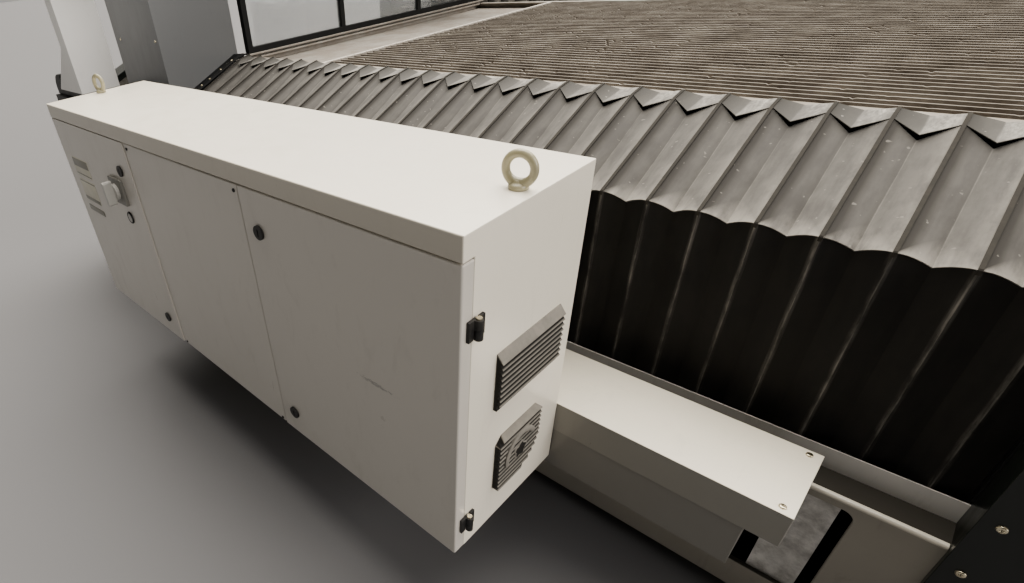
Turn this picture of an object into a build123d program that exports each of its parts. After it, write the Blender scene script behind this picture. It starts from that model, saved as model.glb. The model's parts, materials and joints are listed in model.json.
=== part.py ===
"""Gantry waterjet cutting machine: control cabinet, X beams with pleated bellows, slatted tank, portal and head.

Lengths are in millimetres, +Z is up. While it is modelled the datum is the floor below the cabinet's right
front edge: X runs along the machine, Y runs from the cabinet's doors to the tank. The finished pieces are
moved so that the origin lies on the floor at the centre of the whole machine.
"""

import os

from build123d import *

# Cabinet
CABINET_LENGTH = 1800.0
CABINET_DEPTH = 380.0
CABINET_HEIGHT = 760.0
CABINET_TOP = 1150.0
HEADER_HEIGHT = 46.0
DOOR_DEPTH = 28.0
SHEET = 2.0
SEAM = 2.0
DOOR_SEAL_GAP = 0.5
DOOR_COUNT = 3
LIP_WIDTH = 22.0
MULLION_WIDTH = 50.0
MULLION_DEPTH = 30.0
MULLION_RIB = 14.0
MOUNTING_PLATE_THICKNESS = 3.0
MOUNTING_PLATE_MARGIN = 50.0
STANDOFF_LENGTH = 25.0
STANDOFF_RADIUS = 6.0
STANDOFF_INSET = 30.0
DRIVE_COUNT = 6
DRIVE_WIDTH = 78.0
DRIVE_HEIGHT = 300.0
DRIVE_DEPTH = 190.0
DRIVE_STEP = 84.0
DRIVE_INSET = 240.0
DRIVE_RISE = 300.0
DRIVE_RIBS = 4
DRIVE_RIB_PITCH = 17.0
DRIVE_RIB_GROOVE = 8.0
DRIVE_RIB_DEPTH = 12.0
DRIVE_RIB_HEIGHT = 100.0
TERMINAL_INSET = 120.0
TERMINAL_RISE = 120.0
TERMINAL_RAIL_HEIGHT = 35.0
TERMINAL_RAIL_DEPTH = 8.0
TERMINAL_BLOCK_INSET = 60.0
TERMINAL_BLOCK_LENGTH = 920.0
TERMINAL_BLOCK_OVERHANG = 12.0
TERMINAL_BLOCK_DEPTH = 50.0
TERMINAL_GROOVES = 12
TERMINAL_GROOVE_PITCH = 68.0
TERMINAL_GROOVE = 3.0
TERMINAL_GROOVE_DEPTH = 18.0
DUCT_RISE = 90.0
DUCT_HEIGHT = 40.0
DUCT_DEPTH = 60.0

# Cabinet fittings
HINGE_HEIGHT = 40.0
HINGE_PIN_RADIUS = 3.0
PIN_CLEARANCE = 0.05
HINGE_KNUCKLE_RADIUS = 8.0
HINGE_LEAF_THICKNESS = 6.0
HINGE_LEAF_WIDTH = 13.0
HINGE_PIN_OUT = 9.0
HINGE_DROP_UPPER = 175.0
HINGE_DROP_LOWER = 676.0
LOCK_FACE_RADIUS = 17.0
LOCK_FACE_DEPTH = 6.0
LOCK_BARREL_RADIUS = 10.0
LOCK_CAM_SHORTFALL = 12.0
LOCK_CAM_WIDTH = 16.0
LOCK_CAM_THICKNESS = 3.0
LOCK_DROP_UPPER = 145.0
LOCK_DROP_LOWER = 682.0
RIGHT_LOCK_INSET = 60.0
LEFT_LOCK_INSET = 74.0
SWITCH_PLATE_WIDTH = 95.0
SWITCH_PLATE_HEIGHT = 87.0
SWITCH_PLATE_DEPTH = 10.0
SWITCH_FROM_LEFT = 462.0
SWITCH_DROP = 220.0
SWITCH_DIAL_RADIUS = 26.0
SWITCH_DIAL_DEPTH = 12.0
SWITCH_GRIP_LENGTH = 78.0
SWITCH_GRIP_WIDTH = 16.0
SWITCH_GRIP_DEPTH = 28.0
SWITCH_SHAFT_RADIUS = 4.0
EYE_RING_RADIUS = 24.5
EYE_WIRE_RADIUS = 7.0
EYE_COLLAR_RADIUS = 16.0
EYE_COLLAR_HEIGHT = 8.0
EYE_STEM_RADIUS = 8.0
EYE_STEM_LENGTH = 12.0
EYE_INSET = 38.0
FILTER_WIDTH = 213.0
FILTER_HEIGHT = 135.0
FILTER_CENTRE_Y = 213.5
FILTER_DROP = 342.0
FILTER_BORDER = 12.0
FILTER_HOLE_MARGIN = 15.0
FAN_GUARD_SIDE = 152.0
FAN_GUARD_CHAMFER = 26.0
FAN_CENTRE_Y = 201.0
FAN_DROP = 581.0
FAN_RING_RADII = (20.0, 40.0, 58.0)
FAN_RING_WIDTH = 3.0
FAN_RING_DEPTH = 5.0
FAN_BOSS_RADIUS = 10.0
LOUVRE_PROUD = 24.0
LOUVRE_PITCH = 15.0
LOUVRE_BLADE = 2.4
GRILLE_BASE = 4.0
FAN_RADIUS = 62.0
FAN_DEPTH = 38.0
FAN_FRAME_MARGIN = 13.0
FAN_STRUT_ANGLES = (45, 135)
FAN_BLADES = 7
FAN_BLADE_CHORD = 32.0
FAN_BLADE_TWIST = 40
FAN_HUB_RADIUS = 24.0
FAN_SHAFT_RADIUS = 3.0

# Screw heads on the covers
LID_SCREW_INSET = 22.0
LID_SCREW_BACK = 15.0
LID_SCREW_FRONT = 17.0
PANEL_SCREW_INSETS = (20.0, 12.0)
PANEL_SCREW_DROP = 16.0
PANEL_SCREW_RISE = 10.0
APRON_SCREWS = 6
APRON_SCREW_FIRST = 191.0
APRON_SCREW_PITCH = 131.0
APRON_SCREW_INSET = 27.0

# Raceway behind the cabinet
RACEWAY_DEPTH = 200.0
RACEWAY_TOP = 566.0
RACEWAY_BOTTOM = 359.0
RACEWAY_RIGHT = 460.0
RACEWAY_OVERHANG = 59.0
RACEWAY_FLANGE = 84.0
RACEWAY_LEFT = -1790.0
RACEWAY_MOUTH_MARGIN = 15.0
RACEWAY_MOUTH_RISE = 60.0
CARRIER_WIDTH = 60.0
CARRIER_HEIGHT = 50.0
CARRIER_WALL = 4.0
CARRIER_FRONT = 60.0
CARRIER_GAP = 4.0
CARRIER_SHORTFALL = 10.0

# X beams
MACHINE_LEFT = -3065.0
MACHINE_RIGHT = 895.0
BEAM_FRONT = 580.0
BEAM_DEPTH = 460.0
BEAM_TOP = 483.0
BEAM_BOTTOM = 60.0
BEAM_WALL = 15.0
BEAM_TOP_THICKNESS = 20.0
BEAM_EDGE_RADIUS = 12.0
END_LEG = 350.0
MIDDLE_LEG = 200.0
WINDOW_COUNT = 3
WINDOW_TOP_BORDER = 28.0
WINDOW_SILL = 90.0
WINDOW_RADIUS = 22.0
TIE_WIDTH = 120.0
TIE_HEIGHT = 120.0
TIE_BOTTOM = 150.0
TIE_WALL = 8.0
FOOT_LENGTH = 240.0
FOOT_WIDTH = 140.0
FOOT_THICKNESS = 15.0
FOOT_CORNER = 20.0
FOOT_STUD_RADIUS = 18.0
FOOT_HOLE_RADIUS = 9.0
FOOT_HOLE_OFFSET = 85.0
STRIP_Y = 650.0
STRIP_HEIGHT = 52.0
STRIP_FOOT = 8.0

# X guides, covered by the bellows
RAIL_WIDTH = 34.0
RAIL_HEIGHT = 30.0
RAIL_FRONT_OFFSET = 180.0
RAIL_SPACING = 180.0
RAIL_FOOT_HEIGHT = 9.0
RAIL_HEAD_HEIGHT = 6.0
RAIL_WAIST_INSET = 4.0
RAIL_WAIST_SLOPE = 5.0
TRACK_WIDTH = 60.0
TRACK_HEIGHT = 10.0
RUNNING_GAP = 0.4
CARRIAGE_THICKNESS = 30.0
CARRIAGE_INSET = 40.0
CARRIAGE_BLOCK_LENGTH = 110.0
CARRIAGE_BLOCK_WIDTH = 80.0
CARRIAGE_BLOCK_TOP = 27.0
CARRIAGE_BLOCK_FOOT = 8.0
FORCER_INSET = 160.0
FORCER_GAP = 1.0

# Bellows
PLEAT_PITCH = 102.5
PLEAT_COUNT = 27
PACKED_PITCH = 13.0
BELLOWS_RIGHT = 667.0
BELLOWS_FRONT = 660.0
BELLOWS_BOTTOM = 510.0
BELLOWS_EAVES = 972.0
BELLOWS_APEX_Y = 988.0
BELLOWS_APEX_Z = 1105.0
BELLOWS_BACK_Y = 1035.0
BELLOWS_BACK_Z = 1114.0
PLEAT_DEPTH = 24.0
PLEAT_NOTCH = 38.0
BELLOWS_LIP_Y = 8.0
BELLOWS_LIP_HEIGHT = 36.0
BELLOWS_WALL = 6.0
FLANGE_THICKNESS = 3.0
FLANGE_BORDER = 14.0
FLANGE_FRONT_GAP = 4.0
FLANGE_RISE = 10.0
CLAMP_RISE = 19.0
CLAMP_LENGTH = 40.0
CLAMP_GAP = 4.0

# Ends
END_COVER_FRONT = 560.0
END_COVER_BOTTOM = 120.0
END_COVER_WALL = 3.0
END_COVER_RISE = 22.0
END_COVER_BACK = 8.0
LEFT_END_LENGTH = 130.0

# Tank and bed
TANK_FRONT = 1060.0
TANK_WIDTH = 1900.0
TANK_LEFT = -2110.0
TANK_RIGHT = 850.0
TANK_WALL = 8.0
TANK_BOTTOM = 270.0
TANK_RIM_TOP = 1112.0
TANK_SIDE_TOP = 1094.0
TANK_RIM_WIDTH = 40.0
SHELF_TOP = 1064.0
BED_LEFT = -1555.0
BED_RIGHT = 640.0
BED_LIP_TOP = 1092.0
BED_LIP = 18.0
SLAT_TOP = 1090.0
SLAT_HEIGHT = 80.0
SLAT_THICKNESS = 4.0
SLAT_PITCH = 40.0
SLAT_MARGIN = 40.0
COMB_COUNT = 3
COMB_THICKNESS = 12.0
COMB_HEIGHT = 90.0
COMB_SLOT_DEPTH = 35.0
COMB_INSET = 90.0
SLOT_CLEARANCE = 0.5
GUARD_DROP = 27.0
GUARD_POST = 30.0
GUARD_POSTS = 4
GUARD_RAIL_HEIGHT = 26.0
GUARD_PANEL = 6.0

# Portal
PORTAL_RIGHT = -2104.0
PORTAL_WIDTH = 456.0
COVER_FRONT = 620.0
COVER_BACK = 1012.0
COVER_BOTTOM = 550.0
PORTAL_TOP = 1850.0
COVER_SHEET = 3.0
COVER_CLEARANCE = 0.3
SPACER_SIDE = 40.0
SPACER_INSET = 60.0
SPACER_RISES = (150.0, 600.0)
BRACKET_SIDE = 40.0
BRACKET_INSET = 300.0
BRIDGE_DROP = 60.0
BRIDGE_HEIGHT = 378.0
BRIDGE_INSET = 60.0
BRIDGE_RAIL_GAP = 10.0
PORTAL_WALL = 14.0
UPRIGHT_INSET = 22.0
UPRIGHT_REACH = 60.0
TOW_WIDTH = 310.0
TOW_DEPTH = 202.0
TOW_GAP = 80.0
TOW_BACK = 604.0
TOW_RISE = 34.0
TOW_EDGE = 7.0
TOW_NECK_WIDTH = 87.0
TOW_SHOULDER_RISE = 210.0
TOW_ARM_HEIGHT = 250.0
TOW_ARM_SHORTFALL = 200.0
TOW_PAD_MARGIN = 20.0
SHOE_TOE = 105.0
SHOE_TOE_RISE = 102.0
SHOE_TOE_FLAT = 25.0
SHOE_INSET = 12.0
SHOE_HEEL = 6.0
SHOE_GAP = 3.0
SHOE_CLEARANCE = 6.0
HOOK_INSET = 60.0
HOOK_TOP = 49.0
HOOK_BOTTOM = 85.0
CHANNEL_LEFT = -3060.0
CHANNEL_RIGHT = -120.0
CHANNEL_TOP = 985.0
CHANNEL_GAP = 4.0
CHANNEL_FRONT_GAP = 16.0
CHANNEL_SLOT = 64.0
CHANNEL_SLOT_END = 40.0
CHANNEL_BRACKET_WIDTH = 60.0
CHANNEL_BRACKET_DEPTH = 40.0
CHANNEL_BRACKET_OUT = 60.0
CHANNEL_BRACKET_INSETS = (240.0, 200.0)
CHAIN_HEIGHT = 70.0
CHAIN_WIDTH = 100.0
CHAIN_BEND_X = -2885.0
CHAIN_FIXED_END = -1600.0

# Saddle and head
HEAD_Y = 2620.0
SADDLE_WIDTH = 320.0
SADDLE_THICKNESS = 25.0
SADDLE_BELOW = 12.0
SADDLE_ABOVE = 10.0
SADDLE_BLOCK_LENGTH = 90.0
SADDLE_BLOCK_WIDTH = 76.0
BRIDGE_RAIL_INSET = 58.0
UNIT_DEPTH = 240.0
UNIT_WIDTH = 220.0
UNIT_BELOW = 17.0
UNIT_CHAMFER = 30.0
RAM_SIDE = 110.0
RAM_LENGTH = 316.0
RAM_BELOW = 11.0
HEAD_RADIUS = 30.0
HEAD_HEIGHT = 58.0
INLET_RADIUS = 6.0
INLET_REACH = 12.0
NOZZLE_REACH = 84.0
NOZZLE_RADIUS = 5.0
NOZZLE_BORE = 1.2

# What follows from the sizes above
CABINET_BOTTOM = CABINET_TOP - CABINET_HEIGHT
CABINET_LEFT = -CABINET_LENGTH
DOOR_PITCH = CABINET_LENGTH / DOOR_COUNT
DOOR_TOP = CABINET_TOP - HEADER_HEIGHT - SEAM
DOOR_BOTTOM = CABINET_BOTTOM + SEAM / 2
SHELL_FRONT = DOOR_DEPTH + DOOR_SEAL_GAP
HINGE_PIN_Y = SHELL_FRONT + HINGE_LEAF_THICKNESS
BEAM_BACK = BEAM_FRONT + BEAM_DEPTH
TANK_BACK = TANK_FRONT + TANK_WIDTH
TANK_CENTRE = TANK_FRONT + TANK_WIDTH / 2
RAIL_YS = (BEAM_FRONT + RAIL_FRONT_OFFSET, BEAM_FRONT + RAIL_FRONT_OFFSET + RAIL_SPACING)
RAIL_TOP = BEAM_TOP + RAIL_HEIGHT
TRACK_Y = sum(RAIL_YS) / 2
CARRIAGE_BOTTOM = RAIL_TOP + CARRIAGE_BLOCK_TOP
CARRIAGE_TOP = CARRIAGE_BOTTOM + CARRIAGE_THICKNESS
PORTAL_LEFT = PORTAL_RIGHT - PORTAL_WIDTH
BRIDGE_TOP = PORTAL_TOP - BRIDGE_DROP
BRIDGE_BOTTOM = BRIDGE_TOP - BRIDGE_HEIGHT
BRIDGE_RAIL_ZS = (BRIDGE_BOTTOM + BRIDGE_RAIL_INSET, BRIDGE_TOP - BRIDGE_RAIL_INSET)
SADDLE_BOTTOM = BRIDGE_BOTTOM - SADDLE_BELOW
SADDLE_TOP = BRIDGE_TOP + SADDLE_ABOVE
UNIT_BOTTOM = BRIDGE_BOTTOM - UNIT_BELOW
RAM_BOTTOM = UNIT_BOTTOM - RAM_BELOW
RAM_TOP = RAM_BOTTOM + RAM_LENGTH
NOZZLE_TIP = RAM_BOTTOM - NOZZLE_REACH
GUARD_TOP = BRIDGE_BOTTOM - GUARD_DROP
BELLOWS_LEFT = BELLOWS_RIGHT - PLEAT_COUNT * PLEAT_PITCH
PACKED_RIGHT = PORTAL_LEFT - FLANGE_THICKNESS
PACKED_LEFT = PACKED_RIGHT - PLEAT_COUNT * PACKED_PITCH
RIGHT_END_X = BELLOWS_RIGHT + FLANGE_THICKNESS
LEFT_END_X = PACKED_LEFT - FLANGE_THICKNESS
TOW_RIGHT = PORTAL_LEFT - TOW_GAP
TOW_LEFT = TOW_RIGHT - TOW_WIDTH
TOW_FRONT = TOW_BACK - TOW_DEPTH
TOW_MIDDLE_Y = (TOW_FRONT + TOW_BACK) / 2
TOW_NECK_LEFT = TOW_RIGHT - TOW_NECK_WIDTH
TOW_FOOT = CHANNEL_TOP + TOW_RISE
TOW_SHOULDER = TOW_FOOT + TOW_SHOULDER_RISE
TOW_ARM_RIGHT = PORTAL_RIGHT - TOW_ARM_SHORTFALL
TOW_ARM_BOTTOM = PORTAL_TOP - TOW_ARM_HEIGHT
RACEWAY_BACK = CABINET_DEPTH + RACEWAY_DEPTH
CHANNEL_BOTTOM = RACEWAY_TOP + CHANNEL_GAP
SADDLE_BACK = PORTAL_RIGHT + 4.0
SADDLE_FRONT = SADDLE_BACK + SADDLE_THICKNESS
BRIDGE_LEFT = PORTAL_LEFT + BRIDGE_INSET
BRIDGE_RIGHT = PORTAL_RIGHT - BRIDGE_INSET
HEAD_X = SADDLE_FRONT + UNIT_DEPTH / 2
UPRIGHT_FRONT = RAIL_YS[0] - UPRIGHT_REACH
UPRIGHT_BACK = COVER_BACK - COVER_SHEET
PLATE_FACE = CABINET_DEPTH - SHEET - STANDOFF_LENGTH - MOUNTING_PLATE_THICKNESS
SWITCH_REACH = SWITCH_PLATE_DEPTH + SWITCH_DIAL_DEPTH + SWITCH_GRIP_DEPTH
OVERALL_BACK = 2 * TANK_CENTRE - END_COVER_FRONT
ORIGIN_SHIFT = Vector(
    -(MACHINE_LEFT + MACHINE_RIGHT) / 2, -(OVERALL_BACK - SWITCH_REACH) / 2, 0
)
FAR_SIDE = Plane(origin=(0, TANK_CENTRE, 0), z_dir=(0, 1, 0))
BIG = 10000.0


def block(x0, x1, y0, y1, z0, z1):
    """A box between two corners."""
    corner = (Align.MIN, Align.MIN, Align.MIN)
    return Pos(x0, y0, z0) * Box(x1 - x0, y1 - y0, z1 - z0, align=corner)


def rod(axis, radius, centre, start, end):
    """A cylinder along an axis; centre holds the other two coordinates in X, Y, Z order."""
    turned = {"x": Rotation(0, 90, 0), "y": Rotation(-90, 0, 0), "z": Rotation(0, 0, 0)}
    spots = {
        "x": lambda: (start, *centre),
        "y": lambda: (centre[0], start, centre[1]),
        "z": lambda: (*centre, start),
    }
    length = Cylinder(radius, end - start, align=(Align.CENTER, Align.CENTER, Align.MIN))
    return Pos(*spots[axis]()) * turned[axis] * length


def prism_x(outline, x0, x1):
    """An outline of (y, z) points made solid from x0 to x1."""
    face = make_face(Polyline(*outline, close=True))
    return extrude(Plane.YZ.offset(x0) * face, amount=x1 - x0)


def prism_y(outline, y0, y1):
    """An outline of (x, z) points made solid from y0 to y1."""
    plane = Plane(origin=(0, y0, 0), x_dir=(1, 0, 0), z_dir=(0, -1, 0))
    return extrude(plane * make_face(Polyline(*outline, close=True)), amount=-(y1 - y0))


def slab(axis, low, high):
    """Everything between two values along an axis, for cutting a welded shell into its sheets."""
    low_corner = [-BIG, -BIG, -BIG]
    high_corner = [BIG, BIG, BIG]
    place = "xyz".index(axis)
    low_corner[place], high_corner[place] = low, high
    return block(low_corner[0], high_corner[0], low_corner[1], high_corner[1], low_corner[2], high_corner[2])


def sheets_of(shape, *regions):
    """The sheets that a shell is made from: what lies in each region in turn, then what is left."""
    sheets = []
    for region in regions:
        sheets += (shape & region).solids()
        shape -= region
    return sheets + shape.solids()


def far(shape):
    """The same piece on the other side of the tank."""
    return mirror(shape, about=FAR_SIDE)


def both_sides(shape):
    """A piece and its mirror image across the tank."""
    return [shape, far(shape)]


def save(name, *shapes):
    """Write a node: its solids, moved so that the machine's centre is the origin."""
    solids = [solid for shape in shapes for solid in shape.solids()]
    piece = solids[0] if len(solids) == 1 else Compound(solids)
    export_step(piece.moved(Location(ORIGIN_SHIFT)), f"parts/{name}.step")


# Cabinet


def door_edges(index):
    """Left and right edge of a front panel, counted from the right."""
    right = -index * DOOR_PITCH
    left = right - DOOR_PITCH
    last = DOOR_COUNT - 1
    return left + (0 if index == last else SEAM / 2), right - (0 if index == 0 else SEAM / 2)


def panel_pan(index, depth):
    """A front panel: a sheet with its four edges folded back to a depth."""
    left, right = door_edges(index)
    pan = block(left, right, 0, depth, DOOR_BOTTOM, DOOR_TOP)
    return pan - block(left + SHEET, right - SHEET, SHEET, depth + 1, DOOR_BOTTOM + SHEET, DOOR_TOP - SHEET)


def cabinet_shell():
    """Folded body with its header, inward lip, mullions, and the openings in the right end."""
    outer = block(CABINET_LEFT, 0, SHELL_FRONT, CABINET_DEPTH, CABINET_BOTTOM, CABINET_TOP)
    outer += block(CABINET_LEFT, 0, 0, SHELL_FRONT, CABINET_TOP - HEADER_HEIGHT, CABINET_TOP)
    inside = block(
        CABINET_LEFT + SHEET, -SHEET, SHELL_FRONT + SHEET, CABINET_DEPTH - SHEET,
        CABINET_BOTTOM + SHEET, CABINET_TOP - SHEET,
    )
    inside += block(
        CABINET_LEFT + SHEET, -SHEET, SHEET, SHELL_FRONT + SHEET,
        CABINET_TOP - HEADER_HEIGHT + SHEET, CABINET_TOP - SHEET,
    )
    mouth = block(
        CABINET_LEFT + LIP_WIDTH, -LIP_WIDTH, SHELL_FRONT - 1, SHELL_FRONT + SHEET + 1,
        CABINET_BOTTOM + LIP_WIDTH, CABINET_TOP - HEADER_HEIGHT,
    )
    shell = outer - inside - mouth
    for index in range(1, DOOR_COUNT):
        shell += mullion(-index * DOOR_PITCH)
    for x in (CABINET_LEFT + EYE_INSET, -EYE_INSET):
        centre = (x, CABINET_DEPTH / 2)
        shell += rod("z", EYE_COLLAR_RADIUS, centre, CABINET_TOP - EYE_STEM_LENGTH, CABINET_TOP - SHEET)
        shell -= rod("z", EYE_STEM_RADIUS + PIN_CLEARANCE, centre, CABINET_TOP - EYE_STEM_LENGTH, CABINET_TOP)
    fan = rod("x", FAN_RADIUS + 2, (FAN_CENTRE_Y, CABINET_TOP - FAN_DROP), -2 * SHEET, SHEET)
    low = CABINET_TOP - FILTER_DROP - FILTER_HEIGHT / 2
    margin = FILTER_HOLE_MARGIN
    half_hole = FILTER_WIDTH / 2 - margin
    filter_hole = block(
        -2 * SHEET, SHEET, FILTER_CENTRE_Y - half_hole, FILTER_CENTRE_Y + half_hole,
        low + margin, low + FILTER_HEIGHT - margin,
    )
    shell = shell - fan - filter_hole
    header = slab("y", -1, SHELL_FRONT)
    lip_back = slab("y", SHELL_FRONT, SHELL_FRONT + SHEET)
    header_sheets = sheets_of(
        shell & header, slab("z", CABINET_TOP - SHEET, CABINET_TOP), slab("y", -1, SHEET),
        slab("z", 0, CABINET_TOP - HEADER_HEIGHT + SHEET),
    )
    return header_sheets + sheets_of(
        shell - header, slab("z", CABINET_TOP - SHEET, CABINET_TOP), slab("x", -SHEET, 0),
        slab("x", CABINET_LEFT, CABINET_LEFT + SHEET), slab("y", CABINET_DEPTH - SHEET, CABINET_DEPTH),
        slab("z", CABINET_BOTTOM, CABINET_BOTTOM + SHEET),
        lip_back & slab("z", CABINET_BOTTOM, CABINET_BOTTOM + LIP_WIDTH),
        lip_back & slab("z", CABINET_TOP - HEADER_HEIGHT, CABINET_TOP), lip_back,
    )


def mullion(x):
    """A post behind a seam between two front panels: a strip with a stiffening rib down its back."""
    half, rib = MULLION_WIDTH / 2, MULLION_RIB / 2
    low, high = CABINET_BOTTOM + SHEET, CABINET_TOP - HEADER_HEIGHT + SHEET
    strip = block(x - half, x + half, SHELL_FRONT, SHELL_FRONT + SHEET, low, high)
    return strip + block(x - rib, x + rib, SHELL_FRONT, SHELL_FRONT + MULLION_DEPTH, low, high)


def hinge_heights():
    """Bottom of the upper and of the lower hinge."""
    return [CABINET_TOP - drop - HINGE_HEIGHT / 2 for drop in (HINGE_DROP_UPPER, HINGE_DROP_LOWER)]


def hinge_leaf(z, moving):
    """One leaf of a block hinge on the right end: a plate, and a knuckle over half of the pin's length."""
    middle = z + HINGE_HEIGHT / 2
    low, high = (middle + 0.2, z + HINGE_HEIGHT) if moving else (z, middle - 0.2)
    clear = HINGE_KNUCKLE_RADIUS + 0.5
    near_pin = HINGE_PIN_Y - clear if moving else HINGE_PIN_Y + clear
    away = near_pin - HINGE_LEAF_WIDTH if moving else near_pin + HINGE_LEAF_WIDTH
    plate = block(0, HINGE_LEAF_THICKNESS, min(near_pin, away), max(near_pin, away), z, z + HINGE_HEIGHT)
    web = block(0.3, HINGE_PIN_OUT, min(near_pin, HINGE_PIN_Y), max(near_pin, HINGE_PIN_Y), low, high)
    knuckle = rod("z", HINGE_KNUCKLE_RADIUS, (HINGE_PIN_OUT, HINGE_PIN_Y), low, high)
    leaf = plate + web + knuckle
    bore = HINGE_PIN_RADIUS + (PIN_CLEARANCE if moving else 0)
    return leaf - rod("z", bore, (HINGE_PIN_OUT, HINGE_PIN_Y), z - 1, z + HINGE_HEIGHT + 1)


def hinge_pin(z):
    """A hinge pin with its head on top."""
    centre = (HINGE_PIN_OUT, HINGE_PIN_Y)
    pin = rod("z", HINGE_PIN_RADIUS, centre, z, z + HINGE_HEIGHT + 1)
    return pin + rod("z", HINGE_PIN_RADIUS + 2, centre, z + HINGE_HEIGHT + 0.2, z + HINGE_HEIGHT + 3)


def to_left_end(shape):
    """The same fitting mirrored to the cabinet's left end."""
    return mirror(shape, about=Plane(origin=(CABINET_LEFT / 2, 0, 0), z_dir=(1, 0, 0)))


def lock(x, drop, inset):
    """A quarter-turn lock, drawn unlocked: its cam hangs, and turned to the side reaches behind the mullion."""
    z = CABINET_TOP - drop
    cam_front = SHELL_FRONT + SHEET + 1.5
    body = rod("y", LOCK_FACE_RADIUS, (x, z), -LOCK_FACE_DEPTH, -0.3)
    body += rod("y", LOCK_BARREL_RADIUS, (x, z), -LOCK_FACE_DEPTH / 2, cam_front + LOCK_CAM_THICKNESS)
    body -= block(x - 2, x + 2, -LOCK_FACE_DEPTH - 1, -LOCK_FACE_DEPTH / 2, z - 9, z + 9)
    half = LOCK_CAM_WIDTH / 2
    tip = z - (inset - LOCK_CAM_SHORTFALL)
    return body + block(x - half, x + half, cam_front, cam_front + LOCK_CAM_THICKNESS, tip, z)


def lock_hole(x, drop):
    """The hole in a door for a lock's barrel."""
    return rod("y", LOCK_BARREL_RADIUS + PIN_CLEARANCE, (x, CABINET_TOP - drop), -1, SHEET + 1)


def switch_plate():
    """The raised plate under the main switch."""
    x = CABINET_LEFT + SWITCH_FROM_LEFT
    z = CABINET_TOP - SWITCH_DROP
    plate = block(
        x - SWITCH_PLATE_WIDTH / 2, x + SWITCH_PLATE_WIDTH / 2, -SWITCH_PLATE_DEPTH, 0,
        z - SWITCH_PLATE_HEIGHT / 2, z + SWITCH_PLATE_HEIGHT / 2,
    )
    plate = fillet(plate.edges().filter_by(Axis.Y), 6)
    return plate - rod("y", SWITCH_SHAFT_RADIUS + PIN_CLEARANCE, (x, z), -SWITCH_PLATE_DEPTH - 1, 1)


def switch_handle():
    """Dial, grip and shaft of the rotary main switch."""
    x = CABINET_LEFT + SWITCH_FROM_LEFT
    z = CABINET_TOP - SWITCH_DROP
    dial_front = -SWITCH_PLATE_DEPTH - SWITCH_DIAL_DEPTH
    handle = rod("y", SWITCH_DIAL_RADIUS, (x, z), dial_front, -SWITCH_PLATE_DEPTH - 0.3)
    grip = block(
        x - SWITCH_GRIP_WIDTH / 2, x + SWITCH_GRIP_WIDTH / 2, -SWITCH_REACH, dial_front + 1,
        z - SWITCH_GRIP_LENGTH / 2, z + SWITCH_GRIP_LENGTH / 2,
    )
    grip = fillet(grip.edges().filter_by(Axis.Y), SWITCH_GRIP_WIDTH * 0.45)
    return handle + grip + rod("y", SWITCH_SHAFT_RADIUS, (x, z), dial_front, SHELL_FRONT)


def right_door():
    """The right front panel, hinged at the cabinet's right end."""
    door = panel_pan(0, DOOR_DEPTH)
    for drop in (LOCK_DROP_UPPER, LOCK_DROP_LOWER):
        door -= lock_hole(-DOOR_PITCH + RIGHT_LOCK_INSET, drop)
    return door


def left_door():
    """The left front panel, hinged at the cabinet's left end, with the main switch's hole."""
    door = panel_pan(DOOR_COUNT - 1, DOOR_DEPTH)
    for drop in (LOCK_DROP_UPPER, LOCK_DROP_LOWER):
        door -= lock_hole(CABINET_LEFT + DOOR_PITCH - LEFT_LOCK_INSET, drop)
    centre = (CABINET_LEFT + SWITCH_FROM_LEFT, CABINET_TOP - SWITCH_DROP)
    return door - rod("y", SWITCH_SHAFT_RADIUS + PIN_CLEARANCE, centre, -1, SHEET + 1)


def eye_bolt(x):
    """A lifting eye: forged ring, collar and threaded stem."""
    y = CABINET_DEPTH / 2
    ring_z = CABINET_TOP + EYE_COLLAR_HEIGHT + EYE_RING_RADIUS - 1
    ring = Pos(x, y, ring_z) * Rotation(90, 0, 0) * Torus(EYE_RING_RADIUS, EYE_WIRE_RADIUS)
    collar = Pos(x, y, CABINET_TOP) * Cone(
        EYE_COLLAR_RADIUS, EYE_COLLAR_RADIUS * 0.7, EYE_COLLAR_HEIGHT,
        align=(Align.CENTER, Align.CENTER, Align.MIN),
    )
    return ring + collar + rod("z", EYE_STEM_RADIUS, (x, y), CABINET_TOP - EYE_STEM_LENGTH, CABINET_TOP)


def louvres(y0, y1, z0, z1):
    """Sloping blades between two heights, each leaning out and down, open between them."""
    blades = None
    count = int((z1 - z0) / LOUVRE_PITCH)
    for index in range(count):
        top = z1 - index * LOUVRE_PITCH
        outline = [
            (GRILLE_BASE - 1, top), (LOUVRE_PROUD, top - LOUVRE_PITCH + LOUVRE_BLADE),
            (LOUVRE_PROUD, top - LOUVRE_PITCH), (GRILLE_BASE - 1, top - LOUVRE_BLADE * 1.4),
        ]
        blade = prism_y(outline, y0, y1)
        blades = blade if blades is None else blades + blade
    return blades


def filter_grille():
    """The inlet filter's louvred cover, with cheeks at both ends and a deep top blade."""
    y0, y1 = FILTER_CENTRE_Y - FILTER_WIDTH / 2, FILTER_CENTRE_Y + FILTER_WIDTH / 2
    z1 = CABINET_TOP - FILTER_DROP + FILTER_HEIGHT / 2
    z0 = z1 - FILTER_HEIGHT
    rim = block(0, GRILLE_BASE, y0, y1, z0, z1)
    border = FILTER_BORDER
    rim -= block(-1, GRILLE_BASE + 1, y0 + border, y1 - border, z0 + border, z1 - border)
    grille = rim + louvres(y0, y1, z0, z1)
    for y in (y0, y1 - LOUVRE_BLADE):
        cheek = [(0, z1), (GRILLE_BASE, z1), (LOUVRE_PROUD * 0.62, z1 - LOUVRE_PITCH * 0.7),
                 (LOUVRE_PROUD * 0.62, z0 + 2), (0, z0)]
        grille += prism_y(cheek, y, y + LOUVRE_BLADE)
    return grille


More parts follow.
